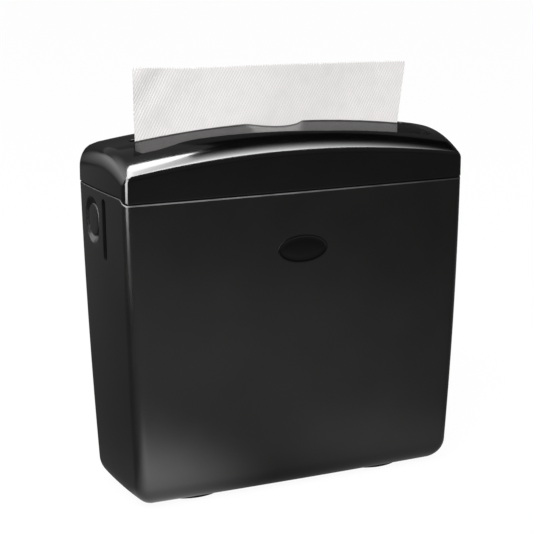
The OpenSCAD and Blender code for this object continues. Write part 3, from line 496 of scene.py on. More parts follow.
def side_surface(y, z):
    t = EDGE_SHARE * (1 - (z - EDGE_Z) / (WALL_TOP - EDGE_Z))
    c, front, rear = corner_r(t), half_front(t), half_rear(t)
    s = 2 * (y + front - c) / (front + rear - 2 * c) - 1
    return half_w(t) + SIDE_BOW * (1 - s * s)


BUTTON_FACE = side_surface(BUTTON_Y, BUTTON_Z)


def rect_loop(rings, cols):
    a, b = cols
    loop = [rings[patch_first][c] for c in range(a, b)]
    loop += [rings[r][b] for r in range(patch_first, patch_last)]
    loop += [rings[patch_last][c] for c in range(b, a, -1)]
    return loop + [rings[r][a] for r in range(patch_last, patch_first, -1)]


def oval_target(y, z, centre, straight, r):
    mid = min(max(z, centre[1] - straight / 2), centre[1] + straight / 2)
    reach = math.hypot(y - centre[0], z - mid)
    return centre[0] + r * (y - centre[0]) / reach, mid + r * (z - mid) / reach


def side_opening(tub, loop, inner_loop, sign, centre, profile, cup):
    """Oval opening in a side, from the skin's loop to the inner wall's; a dish has a cup."""
    flat, inner_flat = ([tub.points[i][1:] for i in ring] for ring in (loop, inner_loop))

    def ring(straight, r, depth, level):
        made = []
        for y, z in flat:
            ty, tz = oval_target(y, z, centre, straight, r)
            x = mix(side_surface(ty, tz), BUTTON_FACE, level) - depth
            made.append((sign * x, ty, tz))
        return tub.ring(made)

    def between(near, depth, oval, share):
        made = []
        for y, z in near:
            ty, tz = oval_target(y, z, centre, oval[0], oval[1])
            my, mz = mix(y, ty, share), mix(z, tz, share)
            made.append((sign * (side_surface(my, mz) - depth), my, mz))
        return tub.ring(made)

    rings = [loop] + [between(flat, 0, profile[0], share) for share in (0.35, 0.7)]
    flat_depth = 0.5 * profile[-1][2]
    for straight, r, depth in profile:
        rings.append(ring(straight, r, depth, min(depth / flat_depth, 1) if cup else 0))
    for straight, r, depth in cup:
        rings.append(ring(straight, r, depth, 1 if depth > WALL else 0))
    rings += [between(inner_flat, WALL, cup[-1] if cup else profile[-1], 0.5), inner_loop]
    for k, (a, b) in enumerate(zip(rings, rings[1:])):
        # Deeper bands of the sight slot are painted shade: dull black instead of the shell
        tub.band(a, b, mark=SLOT_SHADE if not cup and k >= SIGHT_SKIN else 0)


def make_tub():
    tub = Mesh()
    foot = [tub.ring(edge_ring(90 - 90 * i / EDGE_STEPS, 0, BOTTOM_EDGE))
            for i in range(EDGE_STEPS)]
    wall = [tub.ring(wall_ring(f, 0)) for f in row_f]
    top = [tub.ring(rim_round(turn)) for turn in RIM_TURNS]
    lips = ((0, 0), (0, LIP_SHARE), (LIP_ROUND, 1), (LIP_T - LIP_ROUND, 1), (LIP_T, LIP_SHARE))
    top += [tub.ring(lip_ring(SHOULDER + inset, up)) for inset, up in lips]
    inside = [tub.ring(wall_ring(f, WALL)) for f in row_f[:-1]]
    floor = [tub.ring(edge_ring(90 * i / INNER_STEPS, WALL, BOTTOM_EDGE - WALL))
             for i in range(1, INNER_STEPS + 1)]
    right = N_FRONT + CORNER_N
    left = right + N_SIDE + N_REAR + 2 * CORNER_N + N_SIDE
    holes = []
    for cols in (SIGHT_COLS, BUTTON_COLS):
        holes += [(1, [right + k for k in cols]), (-1, [left - k for k in reversed(cols)])]
    cut_cols = {i for _, (low, high) in holes for i in range(low, high)}

    def bands(rings):
        for k, (p, q) in enumerate(zip(rings, rings[1:])):
            tub.band(p, q, skip=cut_cols if patch_first <= k < patch_last else ())

    for p, q in zip(foot, foot[1:] + wall[:1]):
        tub.band(p, q)
    bands(wall)
    # The rows on the rim's rounding carry the painted highlight
    for k, (p, q) in enumerate(zip([wall[-1]] + top, top + [inside[-1]])):
        tub.band(p, q, mark=EDGE_HIGHLIGHT if 0 < k < 3 else 0)
    bands(inside)
    for p, q in zip([inside[0]] + floor, floor):
        tub.band(p, q)
    tub.face(foot[0])
    tub.face(floor[-1])
    sight = [(SIGHT_STRAIGHT, SIGHT_R + growth, depth) for growth, depth in SIGHT]
    kinds = [((SIGHT_Y, SIGHT_Z), sight, [])] * 2 + [((BUTTON_Y, BUTTON_Z), DISH, CUP)] * 2
    for (sign, cols), (centre, profile, cup) in zip(holes, kinds):
        skin, back = rect_loop(wall, cols), rect_loop(inside, cols)
        side_opening(tub, skin, back, sign, centre, profile, cup)
    for sign in (-1, 1):
        for s in (-1, 1):
            low, high = sorted(sign * (BUTTON_FACE - d) for d in (LATCH_BOSS_IN, ROOT))
            y = BUTTON_Y + LATCH_BOSS_OUT * s
            tub.tube(y, BUTTON_Z, low, high, LATCH_BOSS_R, SCREW_BORE, n=28)
            knuckle(tub, sign * HINGE_X + TUB_KNUCKLE_OUT * s, TUB_KNUCKLE_HALF, TUB_PLAY, TUB_LUG)
        for y in PANEL_BOSS_Y:
            tub.post(sign * PANEL_BOSS_X, y, FLOOR_Z - ROOT, FLOOR_Z + PANEL_BOSS_H, PANEL_BOSS_R,
                     bore=SCREW_BORE)
        tub.post(sign * FOOT_BOSS_X, FOOT_BOSS_Y, FLOOR_Z - ROOT, FLOOR_Z + FOOT_BOSS_H,
                 FOOT_BOSS_R)
    return tub.build("tub", "housing", [shell, shell_edge_highlight, throat_matte], ["body_shell"])


# Lid
NOTCH_STEP, NOTCH_BLUR, NOTCH_TAPS, NOTCH_REACH = 0.5, 2.0, 12, 25


def notch_y(x):
    """Front edge of the slot, with the finger notch drawn in smoothly at its ends."""
    total, weight = 0.0, 0.0
    for k in range(-NOTCH_TAPS, NOTCH_TAPS + 1):
        u = x + NOTCH_STEP * k
        w = math.exp(-0.5 * (NOTCH_STEP * k / NOTCH_BLUR) ** 2)
        dip = NOTCH_Y - math.sqrt(NOTCH_R ** 2 - u * u) if abs(u) < NOTCH_REACH else -SLOT_FRONT
        total += w * min(dip, -SLOT_FRONT)
        weight += w
    return total / weight


slot_x = SLOT_HALF - SLOT_CORNER
lid_x = spread(-114, -36, 16) + spread(-34, 34, 60) + spread(36, 114, 16)
lid_fronts = [-1] + [x / slot_x for x in lid_x] + [1]
FRONT_LINES = len(lid_fronts) - 1
lid_grid = (lid_fronts, spread(0, 0.08, 8) + spread(0.08, 1, 28)[1:], spread(1, -1, 40))
mouth = outline(SLOT_HALF, SLOT_FRONT, SLOT_REAR, SLOT_CORNER, 0, 0, lid_grid)
mouth = [(x, notch_y(x)) if i < FRONT_LINES else (x, y) for i, (x, y) in enumerate(mouth)]
OPAQUE, CLEAR, UNDER, LINING, CROWN = 0, 1, 2, 3, 4
# Line on the crown from which it is see-through up to the slot, and its share of the way elsewhere
SMOKE_LINE = [(-131, -30.5), (-105, -27.3), (-90, -23.8), (-80, -22.9), (-55, -23.9), (0, -27.8),
              (52, -31.1), (90, -31.6)]
REST_START = 0.46
# Rounding of the slot's lips as (set back, sink), and of the skirt's lower edge
LIPS = ((2.0, 0), (1.1, 0.03), (0.55, 0.14), (0.2, 0.38), (0, 0.8), (0, 1.7))
SKIRT_ROUND, SKIRT_MID, INNER_ROUND, UNDER_BACK = 0.12, 0.04, 0.4, 0.4
# Posts under the crown, and each latch tongue's blocks as (outer, inner, low, high) from the side
LID_POST_X, LID_POST_Y, LID_POST_R, LID_POST_SINK = 130.7, (-20, 30), 3, 1.25
TONGUE_HALF = 7
TONGUE = ((6.1, 8.1, 242.5, 261.5), (7.9, 9.9, 242.5, 245.0), (0.9, 8.0, 257.5, 261.5))


def lid_outline(inset):
    d = LID_OVER - inset
    c = max(LID_CORNER - inset, LEAST_CORNER)
    return outline(BODY_W / 2 + d, BODY_D / 2 + d, BODY_D / 2 + d, c, FRONT_BOW, SIDE_BOW, lid_grid)


def lid_depths(x, y, inset):
    """How far a place lies inside the lid's outline seen from above, and inside its nearer end."""
    half, deep = BODY_W / 2 + LID_OVER - inset, BODY_D / 2 + LID_OVER - inset
    c = max(LID_CORNER - inset, LEAST_CORNER)
    end = half + SIDE_BOW * (1 - min(abs(y) / (deep - c), 1) ** 2) - abs(x)
    front = deep + FRONT_BOW * (1 - min(abs(x) / (half - c), 1) ** 2) + y
    near = min(front, deep - y)
    out = c - math.hypot(c - end, c - near) if max(end, near) < c else min(end, near)
    return out, end


def soft_drop(depth, r):
    """Fall of a quarter-round edge at a depth inside it."""
    return fall(r, r - min(max(depth, 0), r))


def edge_radius(y, inset):
    return max(mix(FRONT_EDGE, REAR_EDGE, ease(y / BODY_D + 0.5)) - inset, LEAST_CORNER)


def lid_height(x, y, inset):
    out, end = lid_depths(x, y, inset)
    along = min(max(y / BODY_D + 0.5, 0), 1)
    end_r = max(mix(END_FRONT, END_REAR, math.sqrt(along)) - inset, LEAST_CORNER)
    return crown(x, y) - inset - soft_drop(end, end_r) - soft_drop(out, edge_radius(y, inset))


def depth_share(p, s, inset, depth):
    """Share of the way from an outline point to the slot that lies this deep inside."""
    low, high = 0.0, 1.0
    for _ in range(30):
        mid = (low + high) / 2
        if lid_depths(mix(p[0], s[0], mid), mix(p[1], s[1], mid), inset)[0] < depth:
            low = mid
        else:
            high = mid
    return low


def lid_point(p, s, inset, share, sink=0.0):
    x, y = mix(p[0], s[0], share), mix(p[1], s[1], share)
    return (x, y, lid_height(x, y, inset) - sink)


def rim_ring(inset, up):
    return [(x, y, seam(y) + LID_GAP + up) for x, y in lid_outline(inset)]


def round_ring(inset, turn):
    g = math.radians(turn)
    made = []
    for p, s in zip(lid_outline(inset), mouth):
        depth = edge_radius(p[1], inset) * (1 - math.cos(g))
        made.append(lid_point(p, s, inset, depth_share(p, s, inset, depth) if depth else 0))
    return made


def crown_ring(inset, share, sink=0.0, back=0.0):
    """Ring on the crown, a share of the way to the slot, or set back from it."""
    made = []
    for p, s in zip(lid_outline(inset), mouth):
        whole = math.hypot(s[0] - p[0], s[1] - p[1])
        start = depth_share(p, s, inset, edge_radius(p[1], inset))
        made.append(lid_point(p, s, inset, mix(start, 1, share) - back / whole, sink))
    return made


def smoke_y(x):
    """Where the see-through part of the crown starts."""
    for (x0, y0), (x1, y1) in zip(SMOKE_LINE, SMOKE_LINE[1:]):
        if x <= x1:
            return mix(y0, y1, max(x - x0, 0) / (x1 - x0))
    return SMOKE_LINE[-1][1]


def line_ring(inset, share):
    """Ring on the crown: share 0 is where the see-through part starts, and 1 is the slot."""
    made = []
    for i, (p, s) in enumerate(zip(lid_outline(inset), mouth)):
        start = REST_START
        if i < FRONT_LINES:
            for _ in range(3):
                start = (smoke_y(mix(p[0], s[0], start)) - p[1]) / (s[1] - p[1])
        made.append(lid_point(p, s, inset, mix(start, 1, share)))
    return made


def mid_rings(a, b, shares):
    return [[tuple(mix(u, v, s) for u, v in zip(p, q)) for p, q in zip(a, b)] for s in shares]


def make_lid():
    lid = Mesh()
    skirt_low, skirt_top = rim_ring(0, SKIRT_ROUND), round_ring(0, 0)
    skirt = [rim_ring(SKIRT_ROUND, 0), rim_ring(SKIRT_MID, SKIRT_MID), skirt_low]
    skirt += mid_rings(skirt_low, skirt_top, (0.015, 0.25, 0.5, 0.75, 0.985))
    edge = [round_ring(0, 90 * i / 8) for i in range(9)]
    top = [crown_ring(0, s) for s in (0.03, 0.06, 0.1, 0.14, 0.18, 0.22, 0.26, 0.3, 0.34, 0.38)]
    clear = [line_ring(0, s) for s in (0, 0.14, 0.28, 0.42, 0.56, 0.7, 0.82)]
    lips = [crown_ring(0, 1, sink, back) for back, sink in LIPS]
    under = [crown_ring(LID_T, 1, 0, UNDER_BACK)]
    under += [line_ring(LID_T, s) for s in (0.8, 0.6, 0.4, 0.2, 0)]
    lining = [crown_ring(LID_T, s) for s in (0.35, 0.2, 0.1)]
    lining += [round_ring(LID_T, turn) for turn in (90, 60, 30, 0)]
    inner_low = rim_ring(LID_T, INNER_ROUND)
    lining += mid_rings(lining[-1], inner_low, (0.5,))
    lining += [inner_low, rim_ring(LID_T - INNER_ROUND, 0)]
    groups = [(skirt + edge, OPAQUE, OPAQUE), (top + clear[:1], CROWN, CROWN),
              (clear[1:] + lips, CLEAR, CROWN), (under, UNDER, LINING), (lining, LINING, LINING)]
    made = [(lid.ring(r), front, rest) for rings, front, rest in groups for r in rings]
    for (a, _, _), (b, front, rest) in zip(made, made[1:] + made[:1]):
        first = len(lid.faces)
        lid.band(a, b, rest)
        lid.marks[first:first + FRONT_LINES] = [front] * FRONT_LINES
    for sign in (-1, 1):
        knuckle(lid, sign * HINGE_X, LID_KNUCKLE_HALF, LID_PLAY, LID_LUG)
        for y in LID_POST_Y:
            lid.post(sign * LID_POST_X, y, REAR_SEAM_Z, crown(LID_POST_X, y) - LID_POST_SINK,
                     LID_POST_R, mark=LINING)
        for outer, inner_d, low, high in TONGUE:
            x0, x1 = sorted(sign * (BUTTON_FACE - d) for d in (outer, inner_d))
            lid.block((x0, BUTTON_Y - TONGUE_HALF, low), (x1, BUTTON_Y + TONGUE_HALF, high),
                      mark=LINING)
    materials = [lid_smoke, crown_smoke, crown_under, lid_lining, crown_dark]
    return lid.build("smoked_lid", "lid_assembly", materials, ["lid"], sharp=60)


make_tub()
make_lid()

# Push buttons: a crowned cap over each, as (radius, depth below the side)
CAP = [(8.4, 2.1), (9.9, 2.1), (10.2, 1.95), (10.2, 1.75), (10.0, 1.45), (9.6, 1.25), (8.6, 1.1),
       (6.0, 1.0), (3.0, 0.95)]
CAP_STRAIGHT, CAP_N = 6.0, 64


def make_cap(sign, side):
    cap = Mesh()
    rings = []
    for r, depth in CAP:
        ring = []
        for i in range(CAP_N):
            g = 2 * math.pi * (i + 0.5) / CAP_N
            z = BUTTON_Z + r * math.sin(g) + math.copysign(CAP_STRAIGHT / 2, math.sin(g))
            ring.append((sign * (BUTTON_FACE - depth), BUTTON_Y + r * math.cos(g), z))
        rings.append(ring)
    cap.loft(rings)
    return cap.build("button_cap_" + side, side + "_button", [shell])


make_cap(-1, "left")
make_cap(1, "right")

# Sheet in the slot: teeth, how much wider its free edge is, and rows below and above the lip
TEETH, TOOTH, FLARE = 118, 1.7, 0.016
FOOT_ROWS, SHEET_ROWS = 6, 46
SHEET_FOOT, SHEET_RISE, SHEET_TILT, GATHER = 251.1, 46.8, 5.5, 4.5
DIP, DIP_X, DIP_W = 1.6, 62, 42
WAVE, WAVE_LONG, WAVE_START, LEAN = 1.2, 155, 215, 0.8
FOLD, FOLD_STEP, FOLD_SLANT, FOLD_X, FOLD_Z = 0.5, 0.17, 0.9, 121, 300
FOLD_END, FOLD_RUN = 70, 40
RIPPLE, RIPPLE_X, RIPPLE_Z = 0.3, 0.16, 0.07


def sheet_top(x):
    dip = DIP * math.exp(-((x + DIP_X) / DIP_W) ** 2)
    return APEX_Z + SHEET_RISE - SHEET_TILT * x / TOWEL_W - dip


def sheet_bend(x, s, z):
    """How far the sheet bends back: a long wave, a slanted fold near its left end, and a ripple."""
    wave = WAVE * s * math.sin(math.radians(360 * x / WAVE_LONG + WAVE_START)) - LEAN * s * s
    slant = math.sin(FOLD_STEP * (x + FOLD_X - FOLD_SLANT * (z - FOLD_Z)))
    fold = FOLD * ease((-x - FOLD_END) / FOLD_RUN) * s * slant
    ripple = RIPPLE * s * math.sin(x * RIPPLE_X + z * RIPPLE_Z)
    return wave + (ripple - fold)


def make_sheet():
    sheet = Mesh()
    cols = 2 * TEETH
    faces = [[], []]
    for side, off in enumerate((-TOWEL_T / 2, TOWEL_T / 2)):
        for r in range(SHEET_ROWS + 1):
            points = []
            for i in range(cols + 1):
                x = TOWEL_W * (i / cols - 0.5)
                tip = sheet_top(x) - (TOOTH if i % 2 == 0 else 0)
                lip_z = crown(x, 0) + 1
                if r < FOOT_ROWS:
                    z, s = mix(SHEET_FOOT, lip_z, r / FOOT_ROWS), 0.0
                else:
                    s = (r - FOOT_ROWS) / (SHEET_ROWS - FOOT_ROWS)
                    z = mix(lip_z, tip if r == SHEET_ROWS else sheet_top(x) - TOOTH, s)
                across = x * (1 + FLARE * s) - GATHER * (1 - s) * (x / TOWEL_W + 0.5)
                points.append((across, sheet_bend(x, s, z) + off * (1 - 0.5 * s), z))
            faces[side].append(sheet.ring(points))
    for rings in faces:
        for a, b in zip(rings, rings[1:]):
            sheet.band(a, b, closed=False)
    front, rear = faces
    sheet.band(front[0], rear[0], closed=False)
    sheet.band(front[-1], rear[-1], closed=False)
    for c in (0, -1):
        sheet.band([r[c] for r in front], [r[c] for r in rear], closed=False)
    piece = sheet.build("standing_towel", "lid_assembly", [towel_paper], ["lead_towel"],
                        sharp=60)
    piece.visible_glossy = False
    return piece


make_sheet()

# Folded stack: each leaf is a thin plate with rounded folds, a little out of line with the next
STACK_LOW, STACK_H, STACK_D, STACK_Y, LEAVES = 187.0, 62.0, 82.0, -1.5, 60
LEAF_SHORT, LEAF_BACK, LEAF_SAG, LEAF_FOLD, LEAF_HALF = 0.5, 0.7, 0.12, 0.3, 0.49
FOLD_TURNS = (-80, -40, 0, 40, 80)


def make_stack():
    draw = random.Random(4)
    stack = Mesh()
    step = STACK_H / LEAVES
    half = STACK_D / 2
    for k in range(LEAVES):
        low = STACK_LOW + k * step
        out_x = [draw.uniform(-LEAF_SHORT, 0) for _ in range(2)]
        front, rear = (draw.uniform(-LEAF_BACK, 0) for _ in range(2))
        loops = []
        for x in spread(-TOWEL_W / 2 - out_x[0], TOWEL_W / 2 + out_x[1], 10):
            sag = LEAF_SAG * math.sin(x * 0.05 + k)
            loop = []
            for side, reach in ((-1, half + front), (1, half + rear)):
                for turn in FOLD_TURNS:
                    g = math.radians(-side * turn)
                    out = reach - 0.5 * step * (1 - math.cos(g)) - LEAF_FOLD
                    out += LEAF_FOLD * math.cos(g)
                    y = STACK_Y + side * (out + sag - LEAF_SAG)
                    loop.append((x, y, low + step * (0.5 + LEAF_HALF * math.sin(g))))
            loops.append(loop)
        stack.loft(loops)
    return stack.build("folded_towels", "lifter", [towel_paper], ["towel_stack"], sharp=50)


make_stack()


# Springs: place, radius, wire and turns
LIFT_X, LIFT_Y, LIFT_R, LIFT_WIRE, LIFT_TURNS, LIFT_TRAVEL = 132.05, -8.0, 5.5, 1.1, 16, 135.0
RETURN_R, RETURN_WIRE, RETURN_TURNS, RETURN_TRAVEL = 4.2, 0.8, 4, 3.5


def coil(name, nodes, start, axis, r, wire, length, turns, steps=24, sides=10):
    """Wire spring in even turns from start, upward or, along X, toward the middle."""
    made = Mesh()
    count = turns * steps
    inward = 1 if start[0] < 0 else -1
    path = []
    for i in range(count + 1):
        g = 2 * math.pi * i / steps
        path.append((r * math.cos(g), r * math.sin(g), wire / 2 + (length - wire) * (i / count)))
    rings = []
    for i, place in enumerate(path):
        t = [b - a for a, b in zip(path[max(i - 1, 0)], path[min(i + 1, count)])]
        size = math.sqrt(sum(v * v for v in t))
        t = [v / size for v in t]
        out = (place[0] / r, place[1] / r, 0)
        over = (-t[2] * out[1], t[2] * out[0], t[0] * out[1] - t[1] * out[0])
        ring = []
        for k in range(sides):
            g = 2 * math.pi * k / sides
            q = [c + wire / 2 * (o * math.cos(g) + v * math.sin(g))
                 for c, o, v in zip(place, out, over)]
            if axis == "z":
                ring.append((start[0] + q[0], start[1] + q[1], start[2] + q[2]))
            else:
                ring.append((start[0] + inward * q[2], start[1] + q[1], start[2] + q[0]))
        rings.append(ring)
    made.loft(rings)
    steel = steel_x if axis == "x" else steel_z
    piece = made.build(name, "housing", [steel], nodes, sharp=60)
    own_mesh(piece)
    return piece


for sign, side in ((-1, "left"), (1, "right")):
    low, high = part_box("lift_spring_" + side)
    length = (high[2] - low[2]) / MM
    coil("lift_coil_" + side, ["lift_spring_" + side], (sign * LIFT_X, LIFT_Y, low[2] / MM), "z",
         LIFT_R, LIFT_WIRE, length, LIFT_TURNS)
    low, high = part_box("button_spring_" + side)
    length = (high[0] - low[0]) / MM
    outer = (low[0] if sign < 0 else high[0]) / MM
    coil("return_coil_" + side, ["button_spring_" + side], (outer, BUTTON_Y, BUTTON_Z), "x",
         RETURN_R, RETURN_WIRE, length, RETURN_TURNS)


# Badge: bare oval plate with a raised rim, as (inset, depth)
BADGE = [(0, 1.1), (0, 0.35), (0.15, 0.1), (0.45, 0), (1.0, 0.02), (1.35, 0.16), (2.2, 0.2),
         (5.0, 0.12), (8.0, 0.06)]
BADGE_N = 96


def make_badge():
    low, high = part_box("badge")
    zc = (low[2] + high[2]) / 2 / MM
    face = low[1] / MM - MID_Y
    half_x, half_z = (high[0] - low[0]) / 2 / MM, (high[2] - low[2]) / 2 / MM
    plate = Mesh()
    rings = []
    for inset, depth in BADGE:
        ring = []
        for i in range(BADGE_N):
            g = 2 * math.pi * i / BADGE_N
            x, z = (half_x - inset) * math.cos(g), (half_z - inset) * math.sin(g)
            bow = FRONT_BOW * (x / (BODY_W / 2)) ** 2
            ring.append((x, face + depth + bow, zc + z))
        rings.append(ring)
    plate.loft(rings)
    return plate.build("badge_plate", "housing", [gloss_plate], ["badge"], sharp=40)


make_badge()

# CAD nodes that keep their shapes
finishes = {
    "throat_guide": throat_matte, "foot_left": rubber, "foot_right": rubber,
    "foot_screws": steel_z, "panel_screws": steel_z, "throat_screws": steel_z,
    "guide_rod_left": steel_z, "guide_rod_right": steel_z,
    "bracket_screws": steel_x, "housing_screws": steel_x,
    "hinge_pin_left": steel_x, "hinge_pin_right": steel_x,
    "lifter_bushing_left": nylon, "lifter_bushing_right": nylon,
    "button_left": shell, "button_right": shell,
}
for name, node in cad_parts.items():
    if node.hide_render:
        continue
    node.data.materials.clear()
    node.data.materials.append(finishes.get(name, inner))
    node.data.shade_smooth()
    node.data.set_sharp_from_angle(angle=math.radians(30))

# Camera, fitted to the photograph's outlines
CAMERA_PITCH, CAMERA_TURN = 12.743, -25.948
eye = bpy.data.objects.new("camera", bpy.data.cameras.new("camera"))
scene.collection.objects.link(eye)
eye.data.lens = 110.87
eye.data.sensor_width = 36
eye.location = (-0.5844, -1.19124, 0.4756)
eye.rotation_euler = (math.radians(90 - CAMERA_PITCH), 0, math.radians(CAMERA_TURN))
scene.camera = eye

# Pale floor and surroundings, which glossy surfaces see as a dim room
AMBIENT, SKY_LOW, SKY_HIGH = 0.6, 0.05, 0.11
FLOOR_COLOUR, FLOOR_GLOW, FLOOR = 0.05, 0.95, 30
# Soft pools of light on the floor as glossy surfaces see them: middle, reach, level
POOLS = [((0, 0, 0), 12.0, 0.04), ((-0.8, 1.8, 0), 1.8, 0.085), ((0.15, -1.1, 0), 0.85, 0.085),
         ((-0.02, -0.52, 0), 0.72, 0.45), ((-0.13, -0.14, 0), 0.14, 2.8),
         ((0.12, -0.13, 0), 0.16, 0.35), ((0.95, 0.25, 0), 0.85, 0.25),
         ((0.35, 0.9, 0), 0.75, 0.25)]


def seen_white(tree, path):
    """1 for the rays that meet the plain white background: the camera's, also through plastic."""
    return math_node(tree, "ADD", path["Is Camera Ray"], path["Is Transmission Ray"], clamp=True)


def make_world():
    world = bpy.data.worlds.new("studio")
    scene.world = world
    world.use_nodes = True
    tree = world.node_tree
    path = tree.nodes.new("ShaderNodeLightPath").outputs
    split = tree.nodes.new("ShaderNodeSeparateXYZ")
    place = tree.nodes.new("ShaderNodeTexCoord").outputs["Generated"]
    tree.links.new(place, split.inputs["Vector"])
    sky = tree.nodes.new("ShaderNodeMapRange")
    for key, value in (("From Min", 0.1), ("From Max", 0.35),
                       ("To Min", SKY_LOW - AMBIENT), ("To Max", SKY_HIGH - AMBIENT)):
        sky.inputs[key].default_value = value
    tree.links.new(split.outputs["Z"], sky.inputs["Value"])
    total = math_node(tree, "MULTIPLY", seen_white(tree, path), 1 - AMBIENT)
    total = math_node(tree, "ADD", total, AMBIENT)
    dim = math_node(tree, "MULTIPLY", path["Is Glossy Ray"], sky.outputs["Result"])
    total = math_node(tree, "ADD", total, dim)
    back = tree.nodes["Background"]
    back.inputs["Color"].default_value = (1, 1, 1, 1)
    tree.links.new(total, back.inputs["Strength"])


make_world()


def stage_plane(name, corners, material):
    mesh = bpy.data.meshes.new(name)
    mesh.from_pydata(corners, [], [tuple(range(len(corners)))])
    mesh.materials.append(material)
    made = bpy.data.objects.new(name, mesh)
    scene.collection.objects.link(made)
    return made


def floor_material():
    """Pale floor, lit in soft pools as glossy surfaces see it."""
    m = Nodes("pale_floor")
    m.set(Base_Color=(*grey(FLOOR_COLOUR), 1), Roughness=1.0, Specular_IOR_Level=0.0,
          Emission_Color=(1, 1, 1, 1))
    level = 0.0
    for middle, reach, peak in POOLS:
        away = m.add("ShaderNodeVectorMath")
        away.operation = "DISTANCE"
        away.inputs[1].default_value = middle
        m.link(m.place, away.inputs[0])
        pool = m.add("ShaderNodeMapRange", From_Min=0.0, From_Max=reach, To_Min=peak, To_Max=0.0)
        pool.interpolation_type = "SMOOTHSTEP"
        m.link(away.outputs["Value"], pool.inputs["Value"])
        level = math_node(m.tree, "ADD", pool.outputs["Result"], level)
    path = m.add("ShaderNodeLightPath").outputs
    glossy = math_node(m.tree, "MULTIPLY", path["Is Glossy Ray"], level)
    total = math_node(m.tree, "ADD", seen_white(m.tree, path), glossy)
    m.link(math_node(m.tree, "MULTIPLY", total, FLOOR_GLOW), m.shader.inputs["Emission Strength"])
    return m.material


floor_corners = [(x * FLOOR, y * FLOOR, 0) for x, y in ((-1, -1), (1, -1), (1, 1), (-1, 1))]
stage_plane("floor", floor_corners, floor_material())


def softbox(name, corners, strength, fades=(), turn=0, base=0.0):
    """Plain studio panel that shows only in glossy surfaces.

    Each fade is (axis, from, to, power) and takes the strength from 1 to 0 along the axis, which is
    turned by some degrees about Z; the base is added all over.
    """
    m = Nodes(name)
    m.tree.nodes.remove(m.shader)
    light = m.add("ShaderNodeEmission", Color=(1, 1, 1, 1), Strength=strength)
    m.link(light.outputs["Emission"], m.tree.nodes["Material Output"].inputs["Surface"])
    if fades:
        move = m.add("ShaderNodeMapping", Rotation=(0, 0, math.radians(turn)))
        m.link(m.place, move.inputs["Vector"])
        split = m.add("ShaderNodeSeparateXYZ")
        m.link(move.outputs["Vector"], split.inputs["Vector"])
        total = strength
        for axis, start, end, power in fades:
            part = m.add("ShaderNodeMapRange", From_Min=start, From_Max=end, To_Min=1.0, To_Max=0.0)
            m.link(split.outputs[axis], part.inputs["Value"])
            level = math_node(m.tree, "POWER", part.outputs["Result"], power)
            total = math_node(m.tree, "MULTIPLY", level, total)
        m.link(math_node(m.tree, "ADD", total, base), light.inputs["Strength"])
    made = stage_plane(name, corners, m.material)
    made.visible_camera = False
    made.visible_diffuse = False
    made.visible_shadow = False
    made.visible_transmission = False
    return made


def flat_panel(z, corners):
    return [(x, y, z) for x, y in corners]


# Overhead panels: the front edge of the wide one runs a little across the object, so that the light
# on the crown ends at its crease; the smaller ones below it make the patch at the crease's left end
SOFT_TURN, SOFT_FRONT, SOFT_REAR = -9.1, 0.015, 0.35
SOFT_SIN, SOFT_COS = 0.158, 0.987
SOFT_LEFT, SOFT_RIGHT, SOFT_BACK = -0.7, 1.5, 0.9
SOFT_Z, MID_Z, BRIGHT_Z = 1.5, 1.495, 1.49


def soft_edge(x):
    """Where the wide panel's turned front edge lies at x."""
    return (SOFT_FRONT + SOFT_SIN * x) / SOFT_COS


softbox("overhead_soft", flat_panel(SOFT_Z, (
    (SOFT_LEFT, soft_edge(SOFT_LEFT)), (SOFT_RIGHT, soft_edge(SOFT_RIGHT)), (SOFT_RIGHT, SOFT_BACK),
    (SOFT_LEFT, SOFT_BACK))), 23.5,
        [("X", 0.28, 1.35, 1.0), ("Y", SOFT_FRONT, SOFT_REAR, 2.5)], SOFT_TURN)
softbox("overhead_mid", flat_panel(MID_Z, (
    (0.0, 0.02), (0.1, 0.06), (0.18, 0.13), (0.27, 0.21), (0.27, 0.37), (0.0, 0.4))), 6,
        [("X", 0.1, 0.27, 1.0)], base=6.3)
softbox("overhead_bright", flat_panel(BRIGHT_Z, (
    (-0.92, -0.4), (-0.3, -0.4), (0.0, 0.02), (0.07, 0.05), (0.08, 0.22), (0.13, 0.25),
    (0.18, 0.27), (0.24, 0.33), (0.28, 0.39), (0.31, 0.44), (0.31, 0.45), (0.1, 0.455), (0.0, 0.4),
    (-0.34, 0.35), (-0.92, 0.37))), 18)
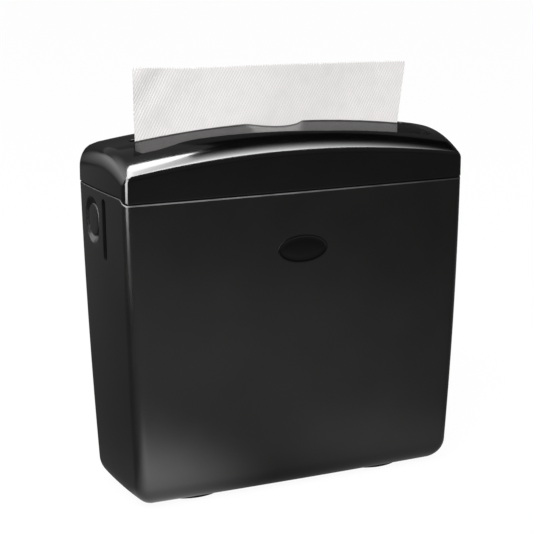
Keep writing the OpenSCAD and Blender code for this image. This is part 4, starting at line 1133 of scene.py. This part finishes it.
# Wide soft light from the rear left, over the lid's end
softbox("rear_left_top", flat_panel(BRIGHT_Z, (
    (-0.92, 0.38), (-0.34, 0.36), (0.0, 0.41), (0.1, 0.47), (0.32, 0.46), (0.4, 0.6), (0.4, 3.5),
    (-0.92, 3.5))), 3.0, [("X", -0.32, 0.72, 2.2)], -36.9, 0.25)
softbox("rear_left_side", [(-0.93, y, z) for y, z in (
    (0.2, 0.1), (6.5, 0.1), (6.5, 1.48), (0.2, 1.48))], 3.5,
        [("Y", 0.2, 6.0, 3.0), ("Z", 0.9, 0.1, 1.0)], base=0.15)
# Upright panel at the left, for the bright line down the front corner
softbox("left_panel", [(-0.61, -0.215, 0.0), (-0.50, -0.44, 0.0), (-0.50, -0.44, 0.22),
                       (-0.54, -0.36, 0.9), (-0.55, -0.34, 0.9), (-0.61, -0.215, 0.22)], 17,
        [("Z", 0.175, 0.135, 1.0)])
# Ribbon from there up to the overhead panels, for the same line where it turns over the lid's
# corner: its edges as (azimuth, height) in degrees from that corner
CORNER, REACH = (-0.147, -0.053, 0.267), 1.0
RIBBON = [((-50, 5), (-71, 5)), ((-54, 29), (-88, 31)), ((-80, 60), (-121, 54)),
          ((-110, 66), (-130, 58))]


def ribbon_point(azimuth, height):
    a, e = math.radians(azimuth), math.radians(height)
    x, y, z = CORNER
    flat = REACH * math.cos(e)
    return (x + flat * math.sin(a), y - flat * math.cos(a), z + REACH * math.sin(e))


for k, (low, high) in enumerate(zip(RIBBON, RIBBON[1:])):
    corners = [ribbon_point(*edge) for edge in (low[0], low[1], high[1], high[0])]
    softbox("corner_ribbon_%d" % k, corners, 12)


def lamp(name, place, aim, size, power):
    data = bpy.data.lights.new(name, "AREA")
    data.shape = "RECTANGLE"
    data.size, data.size_y = size
    data.energy = power
    made = bpy.data.objects.new(name, data)
    scene.collection.objects.link(made)
    made.location = place
    made.rotation_euler = (Vector(aim) - Vector(place)).to_track_quat("-Z", "Y").to_euler()
    return made


key = lamp("key", (-1.62, -2.34, 2.86), (0, 0, 0.25), (2.16, 1.44), 156)
key.visible_glossy = False
